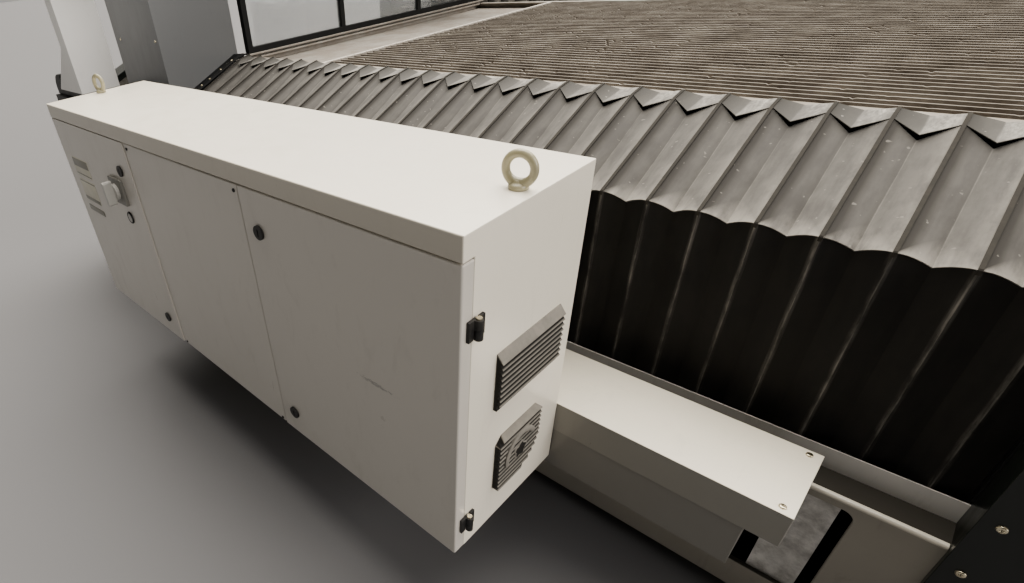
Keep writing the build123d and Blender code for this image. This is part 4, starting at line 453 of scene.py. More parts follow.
@dataclass(frozen=True)
class Moulded(Finish):
    """Injection-moulded plastic: spark-eroded grain, dust held on its faces and painted shade in its grooves.

    It reads the attribute groove where the piece has one: 1 at the root of a groove, 0 on the open face.
    """

    plastic: str = "202020"
    dust: str = "8d877d"
    dust_cover: float = 0.25
    roughness: float = 0.5
    grain_mm: float = 0.9
    specular: float = 0.4
    grime_and_shade: str = "0b0a09"

    def shade(self, tree: bpy.types.NodeTree) -> bpy.types.Node:
        """Build plastic with a fine grain, a thin uneven dust and grooves darkened with painted shade.

        Args:
            tree: The material's node tree.

        Returns:
            The shader.
        """
        add = partial(add_node, tree)
        where = add("ShaderNodeTexCoord").outputs["Object"]
        groove = add("ShaderNodeAttribute", attribute_name="groove").outputs["Fac"]
        # painted shade: the groove value darkens the colour towards near black, most at a groove's root
        deep = add("ShaderNodeMapRange", {"Value": groove, "From Min": 0.05, "From Max": 0.27, "To Max": 0.95})
        drift = add("ShaderNodeTexNoise", {"Vector": where, "Scale": 38.0, "Detail": 8.0, "Roughness": 0.65})
        mask = add("ShaderNodeMapRange", {
            "Value": drift, "From Min": 0.40, "From Max": 0.74, "To Max": self.dust_cover})
        colour = add("ShaderNodeMix", {
            0: mask, "A": linear(self.plastic), "B": linear(self.dust)}, data_type="RGBA")
        shade_darkened = add("ShaderNodeMix", {0: deep, "A": colour, "B": linear(self.grime_and_shade)}, data_type="RGBA")
        rough = add("ShaderNodeMath", {
            0: mask, 1: 0.6, 2: self.roughness}, operation="MULTIPLY_ADD", use_clamp=True)
        # the eroded grain is drawn coarser than the real one, so that it shows
        grain = add("ShaderNodeTexNoise", {"Vector": where, "Scale": MM / self.grain_mm, "Detail": 2.0})
        relief = add("ShaderNodeBump", {"Height": grain, "Strength": 0.4, "Distance": 0.00006})
        return add("ShaderNodeBsdfPrincipled", {
            "Base Color": shade_darkened, "Roughness": rough,
            "Normal": relief, "IOR": 1.53, "Specular IOR Level": self.specular})


@dataclass(frozen=True)
class CoatedCloth(Finish):
    """Polyurethane-coated polyester cloth of bellows: smooth coat, creased folds, cutting dust rubbed into it.

    It reads two attributes of the piece: phase runs 0 to 1 over a pleat, from its left valley over its ridge
    at 0.5, and along runs up the profile.
    """

    cloth: str = "8f8981"
    worn: str = "b3ada3"
    deep: str = "2e2b28"
    dust: str = "b5aea3"
    roughness: float = 0.55
    shadow: Outline = ((0.0, 0.0), (1.0, 0.0))
    light: Outline = ((0.0, 0.0), (1.0, 0.0))
    wander: float = 0.0
    fade: float = 0.0
    lip_light: float = 0.0
    specular: float = 0.5
    smears: float = 0.3
    crumbs: float = 0.5

    def shade(self, tree: bpy.types.NodeTree) -> bpy.types.Node:
        """Build cloth whose painted shade, painted light and dust follow the folds.

        Args:
            tree: The material's node tree.

        Returns:
            The shader.
        """
        add = partial(add_node, tree)
        where = add("ShaderNodeTexCoord").outputs["Object"]
        phase = add("ShaderNodeAttribute", attribute_name="phase").outputs["Fac"]
        along = add("ShaderNodeAttribute", attribute_name="along").outputs["Fac"]
        cloud = add("ShaderNodeTexNoise", {"Vector": where, "Scale": 9.0, "Detail": 9.0, "Roughness": 0.62})
        streaked = add("ShaderNodeMapping", {"Vector": where, "Scale": (26.0, 5.0, 5.0)})
        streak = add("ShaderNodeTexNoise", {"Vector": streaked, "Scale": 2.0, "Detail": 7.0, "Roughness": 0.6})
        both = add("ShaderNodeMath", {0: cloud, 1: streak}, operation="ADD")
        tone = add("ShaderNodeMapRange", {"Value": both, "From Min": 0.84, "From Max": 1.16})
        base = add("ShaderNodeMix", {
            0: tone, "A": linear(self.cloth), "B": linear(self.worn)}, data_type="RGBA")
        # the folds' marks wander a little from the folds themselves
        bent = add("ShaderNodeMath", {0: streak, 1: 0.5}, operation="SUBTRACT")
        shifted = add("ShaderNodeMath", {0: bent, 1: self.wander, 2: phase}, operation="MULTIPLY_ADD")
        # painted shade: the shadow ramp darkens the cloth beside each seam and on the facets turned from the
        # light
        shade_darkened = add("ShaderNodeMix", {
            0: add("ShaderNodeValToRGB", {0: shifted}, stops=self.shadow), "A": base,
            "B": linear(self.deep)}, data_type="RGBA")
        broken = add("ShaderNodeMapRange", {
            "Value": both, "From Min": 0.80, "From Max": 1.12, "To Min": 0.15, "To Max": 1.0})
        faded = add("ShaderNodeMapRange", {"Value": along, "To Min": 1.0 - self.fade, "To Max": 1.0})
        kept = add("ShaderNodeMath", {0: broken, 1: faded}, operation="MULTIPLY")
        drawn = add("ShaderNodeMapping", {"Vector": where, "Scale": (170.0, 60.0, 11.0)})
        smear = add("ShaderNodeTexNoise", {"Vector": drawn, "Scale": 1.0, "Detail": 6.0, "Roughness": 0.65})
        smeared = add("ShaderNodeMapRange", {
            "Value": smear, "From Min": 0.38, "From Max": 0.66, "To Min": 1.0 - self.smears, "To Max": 1.0})
        patchy = add("ShaderNodeMath", {0: kept, 1: smeared}, operation="MULTIPLY")
        # the light ramp rubs dust bright along the folds; on the roof and the top it also paints light on the
        # facets turned to the light
        dust_and_light_mask = add("ShaderNodeMath", {
            0: add("ShaderNodeValToRGB", {0: shifted}, stops=self.light), 1: patchy}, operation="MULTIPLY")
        rubbed = add("ShaderNodeMix", {
            0: dust_and_light_mask, "A": shade_darkened, "B": linear(self.dust)}, data_type="RGBA")
        # dust gathers where water dries on the lower edge, most of all at the tips of its scallops
        tip = add("ShaderNodeMath", {0: phase, 1: 0.5}, operation="SUBTRACT")
        far_tip = add("ShaderNodeMath", {0: tip}, operation="ABSOLUTE")
        reach = add("ShaderNodeMapRange", {"Value": far_tip, "To Max": 0.24, "From Max": 0.5})
        lip = add("ShaderNodeMapRange", {
            "Value": along, "From Max": reach, "To Min": self.lip_light, "To Max": 0.0})
        uneven = add("ShaderNodeMath", {0: lip, 1: broken}, operation="MULTIPLY")
        edged = add("ShaderNodeMix", {0: uneven, "A": rubbed, "B": linear(self.dust)}, data_type="RGBA")
        # crumbs of dried abrasive, 4 to 8 mm across, lie here and there
        crumbs = add("ShaderNodeTexNoise", {"Vector": where, "Scale": 85.0, "Detail": 1.0})
        speck = add("ShaderNodeMapRange", {
            "Value": crumbs, "From Min": 0.735, "From Max": 0.775, "To Max": self.crumbs})
        crumbed = add("ShaderNodeMix", {0: speck, "A": edged, "B": linear(self.dust)}, data_type="RGBA")
        # the weave under the coat is drawn at 1.6 mm, coarser than the real threads, so that it shows
        weave = add("ShaderNodeTexNoise", {"Vector": where, "Scale": 620.0, "Detail": 2.0})
        ripple = add("ShaderNodeTexNoise", {"Vector": where, "Scale": 16.0, "Detail": 3.0})
        height = add("ShaderNodeMath", {0: ripple, 1: 12.0, 2: weave}, operation="MULTIPLY_ADD")
        relief = add("ShaderNodeBump", {"Height": height, "Strength": 0.5, "Distance": 0.00022})
        rough = add("ShaderNodeMapRange", {
            "Value": tone, "To Min": self.roughness - 0.08, "To Max": self.roughness + 0.15})
        return add("ShaderNodeBsdfPrincipled", {
            "Base Color": crumbed, "Roughness": rough,
            "Normal": relief, "IOR": 1.48, "Specular IOR Level": self.specular})


@dataclass(frozen=True)
class ClearSheet(Finish):
    """Clear polycarbonate sheet: extruded, slightly hazed with mist and fine scratches."""

    tint: str = "dfe6e6"

    def shade(self, tree: bpy.types.NodeTree) -> bpy.types.Node:
        """Build a clear sheet with a thin haze.

        Args:
            tree: The material's node tree.

        Returns:
            The shader.
        """
        add = partial(add_node, tree)
        where = add("ShaderNodeTexCoord").outputs["Object"]
        haze = add("ShaderNodeTexNoise", {"Vector": where, "Scale": 14.0, "Detail": 8.0})
        rough = add("ShaderNodeMapRange", {
            "Value": haze, "From Min": 0.4, "From Max": 0.7, "To Min": 0.03, "To Max": 0.16})
        return add("ShaderNodeBsdfPrincipled", {
            "Base Color": linear(self.tint), "Roughness": rough, "IOR": 1.58,
            "Transmission Weight": 0.92, "Alpha": 0.45})


@dataclass(frozen=True)
class Backcloth(Finish):
    """An evenly lit pale backdrop."""

    colour: str = "d5d2cd"
    strength: float = 0.6

    def shade(self, tree: bpy.types.NodeTree) -> bpy.types.Node:
        """Build the backdrop's even light."""
        return add_node(tree, "ShaderNodeEmission", {"Color": linear(self.colour), "Strength": self.strength})


@dataclass(frozen=True)
class FloorPaint(Finish):
    """A plain pale studio floor."""

    colour: str = "656566"
    roughness: float = 0.75

    def shade(self, tree: bpy.types.NodeTree) -> bpy.types.Node:
        """Build a plain matt surface."""
        return add_node(tree, "ShaderNodeBsdfPrincipled", {
            "Base Color": linear(self.colour), "Roughness": self.roughness})


class Finishes:
    """Every finish on the machine."""

    # painted steel: satin cream, with dust where it lies flat; the greyed upright or front faces of some
    # finishes, and the beams' near-black tops, are painted shade
    # painted shade: the shell's faces to the front are greyed, for the shade they stand in
    cabinet_paint = PowderCoat(
        "cabinet_powder_coat", "cream_paint", paint="f7f1e0", shade_paint="efe8d6", dust_cover=0.14,
        front_shade=0.42)
    # painted shade: the doors get a darker copy of the shell's cream, so that their fronts read as in shade
    door_paint = PowderCoat(
        "door_powder_coat", "cream_paint", paint="d1ccc2", shade_paint="c7c2b8", grime_cover=0.16,
        scuff_at=(-208.0, 0.0, 757.0), scuff_mm=130.0)
    # painted shade: the beams' near-black dust colour covers all their upward faces, for the shade on their
    # tops beside the bellows
    beam_paint = PowderCoat(
        "beam_powder_coat", "cream_paint", paint="b3aea3", shade_paint="9d978a", dust_cover=0.95,
        dust="2a2824", grime_cover=0.45, roughness=0.6, sheen_coat=0.0, specular=0.12, drift=(0.0, 0.3))
    strip_paint = PowderCoat(
        "drip_strip_powder_coat", "cream_paint", paint="f4f2ee", shade_paint="e8e5e0", grime_cover=0.3,
        roughness=0.4)
    # painted shade: the lid's upright faces are greyed, for the shade on its front flange
    raceway_paint = PowderCoat(
        "raceway_powder_coat", "cream_paint", paint="f5eedb", shade_paint="ece5d1", dust_cover=0.14,
        grime_cover=0.14, upright_shade=0.8, grime_and_shade="4a4a4a")
    # painted shade: the raceway's body is the lid's cream made dark grey, for the shade in its recess under
    # the lid
    raceway_body_paint = PowderCoat(
        "raceway_body_powder_coat", "cream_paint", paint="7d7a73", shade_paint="6f6c65", dust_cover=0.3,
        grime_cover=0.3)
    end_paint = PowderCoat(
        "end_cover_powder_coat", "end_paint", paint="111612", shade_paint="0c100d", dust="34332f",
        dust_cover=0.3, sheen_coat=0.05, specular=0.3, grime_and_shade="2a2c28", grime_cover=0.35, roughness=0.36)
    # the gantry's colours: a dark grey cover beside the light grey tow column
    dark_cover_paint = PowderCoat(
        "portal_cover_powder_coat", "dark_grey_paint", paint="5c5e5f", shade_paint="545657", dust="716e69",
        dust_cover=0.4, grime_and_shade="2e2f30", grime_cover=0.2, roughness=0.4)
    tow_paint = PowderCoat(
        "tow_column_powder_coat", "light_grey_paint", paint="d9d8d4", shade_paint="cecdc8", grime_cover=0.12)
    portal_paint = PowderCoat(
        "portal_weldment_paint", "light_grey_paint", paint="a9aba9", shade_paint="9b9d9b", grime_cover=0.25,
        roughness=0.45)
    eye_enamel = PowderCoat(
        "lifting_eye_enamel", "zinc", paint="b3ad8d", shade_paint="8b8568", grime_and_shade="5b553c", grime_cover=0.6,
        dust_cover=0.1, roughness=0.3)
    black_paint = PowderCoat(
        "black_enamel", "black_paint", paint="171818", shade_paint="101112", dust="3c3a36", dust_cover=0.35,
        sheen_coat=0.0, specular=0.15, grime_and_shade="2b2b2a", grime_cover=0.4, roughness=0.42)
    # mouldings and plastic film: matt, with dust held in the grain and painted shade in the grooves
    black_plastic = Moulded(
        "black_moulded_plastic", "black_plastic", plastic="121212", dust_cover=0.1, specular=0.25)
    grille_plastic = Moulded(
        "dusty_grey_grille_plastic", "grey_plastic", plastic="75726b", dust="9d968b", dust_cover=0.5,
        roughness=0.7, specular=0.15)
    switch_plastic = Moulded(
        "switch_plate_plastic", "grey_plastic", plastic="75746d", dust_cover=0.25, roughness=0.42)
    handle_plastic = Moulded(
        "switch_handle_plastic", "grey_plastic", plastic="b4b3ac", dust_cover=0.1, roughness=0.35)
    plate_plastic = Moulded(
        "blank_plate_film", "grey_plastic", plastic="d6d3c0", dust_cover=0.1, roughness=0.4)
    band_plastic = Moulded("plate_band_film", "grey_plastic", plastic="7f7d72", dust_cover=0.1, roughness=0.4)
    drive_plastic = Moulded("drive_housing_plastic", "grey_plastic", plastic="5d6062", dust_cover=0.1)
    chain_plastic = Moulded("cable_chain_polyamide", "black_plastic", plastic="1d1d1d", dust_cover=0.35)
    # the bellows' cloth: dark coat, dust rubbed bright along the ridges and dried along the lower edge; on the
    # roof and the top, the shadow ramps paint shade and the light ramps also paint light on the facets
    roof_cloth = CoatedCloth(
        "bellows_roof_coated_cloth", "bellows_fabric", cloth="5a5855", worn="696763", deep="2c2a27",
        dust="99958d", lip_light=0.95, wander=0.02, roughness=0.75, specular=0.08,
        shadow=((0.0, 0.05), (0.05, 0.0), (0.40, 0.0), (0.50, 0.0), (0.53, 0.85), (0.62, 0.75), (0.69, 0.4),
                (0.76, 0.15), (0.88, 0.1), (1.0, 0.2)),
        light=((0.0, 0.6), (0.012, 0.12), (0.2, 0.12), (0.35, 0.3), (0.45, 0.6), (0.47, 0.5), (0.5, 0.0),
               (0.984, 0.0), (1.0, 0.6)))
    top_cloth = CoatedCloth(
        "bellows_top_coated_cloth", "bellows_fabric", cloth="6a6864", worn="7c7a75", deep="302f2c",
        dust="d8d4ca",
        shadow=((0.0, 0.0), (0.46, 0.0), (0.5, 0.3), (0.54, 0.85), (0.8, 0.6), (0.97, 0.45), (1.0, 0.1)),
        light=((0.0, 0.35), (0.12, 0.6), (0.3, 1.0), (0.42, 0.6), (0.495, 0.0), (0.97, 0.0), (1.0, 0.2)),
        wander=0.08, fade=0.6, crumbs=0.2, smears=0.85, roughness=0.75, specular=0.08)
    side_cloth = CoatedCloth(
        "bellows_side_coated_cloth", "bellows_fabric", cloth="1e1d1c", worn="282725", deep="090909",
        dust="a5a19a",
        light=((0.0, 0.0), (0.42, 0.0), (0.47, 0.35), (0.50, 1.0), (0.51, 0.4), (0.56, 0.0), (1.0, 0.0)),
        wander=0.045, fade=0.25, roughness=0.8, specular=0.15, smears=0.9, crumbs=0.0)
    # painted shade: a near-black sheet fills the gap under each flat top, for the shade of the bellows' open
    # inside
    shade_sheet_cloth = Moulded(
        "bellows_inner_cloth", "bellows_fabric", plastic="080808", dust="2c2a27", dust_cover=0.1)
    seam_cloth = Moulded(
        "bellows_seam_stiffener", "bellows_fabric", plastic="33312d", dust="55514b", dust_cover=0.4,
        roughness=0.8, specular=0.08)
    # bare and plated metal: ground and bright on the guides, dull with slurry in and around the tank
    rail_steel = Steel("ground_rail_steel", "steel", metal="c2c1bd", stain_cover=0.05, roughness=0.22)
    galvanised = Steel(
        "galvanised_sheet", "galvanised", metal="b5b8ba", stain="8d9194", stain_cover=0.35, roughness=0.42)
    zinc = Steel(
        "zinc_plated_steel", "zinc", metal="cfc6ad", stain="8a7c5e", stain_cover=0.25, stain_mm=9.0,
        roughness=0.24)
    aluminium = Steel(
        "anodised_aluminium", "aluminium", metal="c6c8ca", stain="a5a7a9", stain_cover=0.1, roughness=0.34)
    carbide = Steel("ground_carbide", "carbide", metal="86868a", stain_cover=0.02, roughness=0.2)
    slat_steel = Steel(
        "cut_and_rusted_slat_steel", "corroded_steel", metal="b3aca1", stain="766c61", stain_cover=0.45,
        stain_mm=120.0, roughness=0.6, metallic=0.2, worn_above=1090.0, worn_mm=6.0, worn_tone="979187")
    slurry = PowderCoat(
        "dried_abrasive_slurry", "tank_steel", paint="cfc9bd", shade_paint="b7b0a3", dust="e2ddd2",
        dust_cover=0.8, grime_and_shade="8f877a", grime_cover=0.5, roughness=0.85, sheen_coat=0.0)
    # painted light: the sheet's metal is near white, so that it reads lit where it lies in the raceway lid's
    # shade; its stains are dust
    dust_and_light_sheet = Steel(
        "inner_sheet_dust_and_painted_light", "galvanised", metal="fbf8f2", stain="a09b93", stain_cover=0.4, stain_mm=85.0,
        roughness=0.7, metallic=0.0)
    tank_steel = Steel(
        "dusty_tank_steel", "tank_steel", metal="a8a49b", stain="8b8378", stain_cover=0.6, stain_mm=160.0,
        roughness=0.55, metallic=0.5)
    clear = ClearSheet("clear_polycarbonate", "clear_sheet")


@dataclass
class Shop:
    """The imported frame, with the few ways in which a piece is made and put on its body."""

    frame: dict[str, Any]
    body_of_node: dict[str, str] = field(default_factory=dict)
    sharp: float = 35.0
    room_share: float = 0.42

    def __post_init__(self) -> None:
        """Note which body each node belongs to."""
        for body, nodes in self.frame["record"]["behaviour"]["bodies"].items():
            for node in nodes:
                self.body_of_node[node] = body

    def new_object(self, name: str, mesh: bpy.types.Mesh) -> bpy.types.Object:
        """Put a mesh in the scene as an object at the origin.

        Args:
            name: The object's name.
            mesh: Its mesh.

        Returns:
            The new object.
        """
        made = bpy.data.objects.new(name, mesh)
        bpy.context.scene.collection.objects.link(made)
        return made

    def from_bmesh(self, name: str, shape: bmesh.types.BMesh) -> bpy.types.Object:
        """Turn a bmesh into an object and free it.

        Args:
            name: The object's name.
            shape: The bmesh.

        Returns:
            The new object.
        """
        mesh = bpy.data.meshes.new(name)
        shape.to_mesh(mesh)
        shape.free()
        return self.new_object(name, mesh)

    def bake(self, piece: bpy.types.Object) -> None:
        """Apply every modifier of a piece.

        Args:
            piece: The object.
        """
        depsgraph = bpy.context.evaluated_depsgraph_get()
        result = bpy.data.meshes.new_from_object(
            piece.evaluated_get(depsgraph), preserve_all_data_layers=True, depsgraph=depsgraph)
        piece.modifiers.clear()
        piece.data = result

    def grow(self, piece: bpy.types.Object, tree: bpy.types.NodeTree, **inputs: Any) -> None:
        """Put a piece through a geometry-node tree and bake the result.

        Args:
            piece: The object.
            tree: The tree.
            inputs: What the tree's named inputs get.
        """
        growth = piece.modifiers.new("growth", "NODES")
        growth.node_group = tree
        ids = {item.name: item.identifier for item in tree.interface.items_tree if item.in_out == "INPUT"}
        for title, value in inputs.items():
            growth[ids[title]] = value
        self.bake(piece)

    def thicken(self, piece: bpy.types.Object, thick_mm: float) -> None:
        """Give a thin sheet its thickness, inwards from its face.

        Args:
            piece: The object.
            thick_mm: The thickness.
        """
        wall = piece.modifiers.new("wall", "SOLIDIFY")
        wall.thickness = thick_mm / MM
        wall.offset = -1.0
        self.bake(piece)

    def smooth(self, piece: bpy.types.Object, angle: float) -> None:
        """Shade a piece smooth, with its corners kept sharp."""
        piece.data.shade_smooth()
        piece.data.set_sharp_from_angle(angle=math.radians(angle))

    def settle(self, piece: bpy.types.Object, body: str | None, finish: Finish,
               *nodes: str) -> bpy.types.Object:
        """Give a finished piece its material, body and the nodes it stands for.

        Args:
            piece: The finished object.
            body: The CAD body it rides on, or None where it stretches between two.
            finish: Its finish.
            nodes: The CAD nodes that it replaces.

        Returns:
            The same object.
        """
        piece.data.materials.clear()
        piece.data.materials.append(finish.material())
        if body:
            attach(piece, body)
        if nodes:
            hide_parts(*nodes)
        LOG.info("%s on %s: %d faces", piece.name, body or "two bodies", len(piece.data.polygons))
        return piece

    def complete(self, name: str, shape: bmesh.types.BMesh, angle: float, body: str, finish: Finish,
                 *nodes: str) -> None:
        """Turn a shape into a finished piece, shaded smooth.

        Args:
            name: The piece's name.
            shape: Its shape.
            angle: The least angle of a corner that stays sharp, in degrees.
            body: The CAD body it rides on.
            finish: Its finish.
            nodes: The CAD nodes that it replaces.
        """
        piece = self.from_bmesh(name, shape)
        self.smooth(piece, angle)
        self.settle(piece, body, finish, *nodes)

    def outfit(self, folded: Iterable[tuple[Finish, float, str]],
               dressed: Iterable[tuple[Finish, str]]) -> None:
        """Finish a list of CAD nodes.

        Args:
            folded: The finish, edge radius in millimetres and node names of those that are remade.
            dressed: The finish and node names of those that keep their CAD shape.
        """
        for finish, radius, nodes in folded:
            for node in nodes.split():
                self.fold(node, finish, radius)
        for finish, nodes in dressed:
            for node in nodes.split():
                self.dress(node, finish)

    def dress(self, node: str, finish: Finish) -> None:
        """Give a CAD node's own object a finish.

        Args:
            node: The node's name.
            finish: Its finish.
        """
        target = self.frame["nodes"][node]
        for slot in target.material_slots:
            slot.material = finish.material()
        LOG.info("%s keeps its CAD shape, in %s", node, finish.name)

    def fuse_tree(self) -> bpy.types.NodeTree:
        """Build the geometry-node tree that fuses a node's touching sheets.

        Returns:
            The node group.
        """
        tree, given = new_tree("fused_sheets")
        union = add_node(tree, "GeometryNodeMeshBoolean", {
            "Mesh 2": given.outputs["Geometry"], "Self Intersection": True}, operation="UNION", solver="EXACT")
        add_node(tree, "NodeGroupOutput", {0: union})
        return tree

    def welded_copy(self, node: str) -> bmesh.types.BMesh:
        """Copy a CAD node as one merged shape with whole flat faces.

        Args:
            node: The CAD node.

        Returns:
            The merged shape.
        """
        mesh = self.frame["nodes"][node].data.copy()
        normals = mesh.attributes.get("custom_normal")
        if normals:
            mesh.attributes.remove(normals)
        loose = self.new_object(f"{node}_loose", mesh)
        self.grow(loose, bpy.data.node_groups.get("fused_sheets") or self.fuse_tree())
        shape = bmesh.new()
        shape.from_mesh(loose.data)
        bpy.data.objects.remove(loose)
        bmesh.ops.remove_doubles(shape, verts=shape.verts, dist=1e-5)
        bmesh.ops.dissolve_limit(shape, angle_limit=math.radians(0.4), verts=shape.verts, edges=shape.edges,
                                 use_dissolve_boundaries=False)
        return shape

    def room_at(self, edge: bmesh.types.BMEdge) -> float:
        """Find how large a radius an edge has room for on its two faces.

        Args:
            edge: The edge.

        Returns:
            The radius in metres.
        """
        start, end = edge.verts[0].co, edge.verts[1].co
        length = edge.calc_length()
        along = (end - start) / length
        room = 1.0
        for face in edge.link_faces:
            across = along.cross(face.normal)
            for other in face.edges:
                if other is edge:
                    continue
                span = other.verts[1].co - other.verts[0].co
                places = [(vertex.co - start).dot(along) for vertex in other.verts]
                if abs(span.normalized().dot(along)) > 0.9:
                    beside = min(max(places), length) - max(min(places), 0.0) > 1e-4
                    if beside and not set(other.verts) & set(edge.verts):
                        room = min(room, abs((other.verts[0].co - start).dot(across)))
                elif set(other.verts) & set(edge.verts):
                    room = min(room, abs(span.dot(across)))
        return self.room_share * room

    def weigh(self, shape: bmesh.types.BMesh, radius: float) -> None:
        """Give each sharp edge the share of the radius that it has room for.

        Args:
            shape: The shape.
            radius: The full radius in metres.
        """
        weights = shape.edges.layers.float.new("bevel_weight_edge")
        shape.normal_update()
        for edge in shape.edges:
            if len(edge.link_faces) == 2 and edge.calc_face_angle(0.0) > math.radians(self.sharp):
                edge[weights] = min(1.0, self.room_at(edge) / radius)

    def fold(self, node: str, finish: Finish, radius_mm: float) -> None:
        """Remake a CAD node with the small bend radii and broken edges that sheet metal has.

        Args:
            node: The CAD node that it replaces.
            finish: Its finish.
            radius_mm: The radius of its edges.
        """
        shape = self.welded_copy(node)
        self.weigh(shape, radius_mm / MM)
        piece = self.from_bmesh(f"{node}_folded", shape)
        edge = piece.modifiers.new("edge_radius", "BEVEL")
        edge.width = radius_mm / MM
        edge.segments = 2
        edge.limit_method = "WEIGHT"
        edge.use_clamp_overlap = False
        edge.loop_slide = True
        flat = piece.modifiers.new("flat_faces", "WEIGHTED_NORMAL")
        flat.keep_sharp = True
        piece.data.shade_smooth()
        self.bake(piece)
        self.settle(piece, self.body_of_node[node], finish, node)


@dataclass(frozen=True)
class RowTree:
    """A geometry-node tree that repeats its own mesh in a straight row."""

    name: str
    merge_mm: float = 0.0

    def build(self) -> bpy.types.NodeTree:
        """Build the tree, with named inputs for how many, the step and the material.

        Returns:
            The node group.
        """
        tree, given = new_tree(self.name, Count="Int", Step="Vector", Finish="Material")
        add = partial(add_node, tree)
        line = add("GeometryNodeMeshLine", {
            "Count": given.outputs["Count"], "Offset": given.outputs["Step"]}, mode="OFFSET")
        copies = add("GeometryNodeInstanceOnPoints", {"Points": line, "Instance": given.outputs["Geometry"]})
        joined = add("GeometryNodeRealizeInstances", {0: copies})
        if self.merge_mm:
            joined = add("GeometryNodeMergeByDistance", {"Geometry": joined, "Distance": self.merge_mm / MM})
        finished = add("GeometryNodeSetMaterial", {
            "Geometry": self.work(tree, joined), "Material": given.outputs["Finish"]})
        add("NodeGroupOutput", {0: finished})
        return tree

    def work(self, tree: bpy.types.NodeTree, row: bpy.types.Node) -> bpy.types.Node:
        """Leave the finished row as it is; a kind of row that wears differently along it says how here.

        Args:
            tree: The tree.
            row: The node that gives the row.

        Returns:
            The node that gives it after any wear.
        """
        return row

    def repeat(self, shop: Shop, piece: bpy.types.Object, count: int, step: Point, finish: Finish) -> None:
        """Repeat a piece's mesh and bake the result.

        Args:
            shop: The shop.
            piece: The object that holds one copy, and then the whole row.
            count: How many copies.
            step: From one copy to the next, in millimetres.
            finish: Their finish.
        """
        tree = bpy.data.node_groups.get(self.name) or self.build()
        metres = tuple(length / MM for length in step)
        shop.grow(piece, tree, Count=count, Step=metres, Finish=finish.material())


@dataclass(frozen=True)
class SlatTree(RowTree):
    """A row of slats, each with its own nicks where the jet has cut into its top edge."""

    column_mm: float = 7.0
    pitch_mm: float = 40.0
    nick_mm: float = 3.0
    rarity: float = 60.0
    wander_share: float = 0.15

    def work(self, tree: bpy.types.NodeTree, row: bpy.types.Node) -> bpy.types.Node:
        """Lower each top point by a depth drawn for its slat and column, over a slow wander of the whole edge.

        Args:
            tree: The tree.
            row: The node that gives the row.

        Returns:
            The node that gives the nicked row.
        """
        add = partial(add_node, tree)
        where = add("GeometryNodeInputPosition")
        cell = add("ShaderNodeVectorMath", {
            0: where, 1: (self.column_mm / MM, self.pitch_mm / MM, 10.0)}, operation="SNAP")
        drawn = add("ShaderNodeTexWhiteNoise", {"Vector": cell}, noise_dimensions="3D")
        rare = add("ShaderNodeMath", {0: drawn, 1: self.rarity}, operation="POWER")
        stretched = add("ShaderNodeVectorMath", {0: cell, 1: (5.0, 400.0, 0.0)}, operation="MULTIPLY")
        slow = add("ShaderNodeTexNoise", {"Vector": stretched, "Scale": 1.0, "Detail": 3.0})
        both = add("ShaderNodeMath", {0: slow, 1: self.wander_share, 2: rare}, operation="MULTIPLY_ADD")
        depth = add("ShaderNodeMath", {0: both, 1: -self.nick_mm / MM}, operation="MULTIPLY")
        top = add("GeometryNodeInputNamedAttribute", {"Name": "top"}, data_type="FLOAT")
        kept = add("ShaderNodeMath", {0: depth, 1: top}, operation="MULTIPLY")
        down = add("ShaderNodeCombineXYZ", {"Z": kept})
        return add("GeometryNodeSetPosition", {"Geometry": row, "Offset": down})


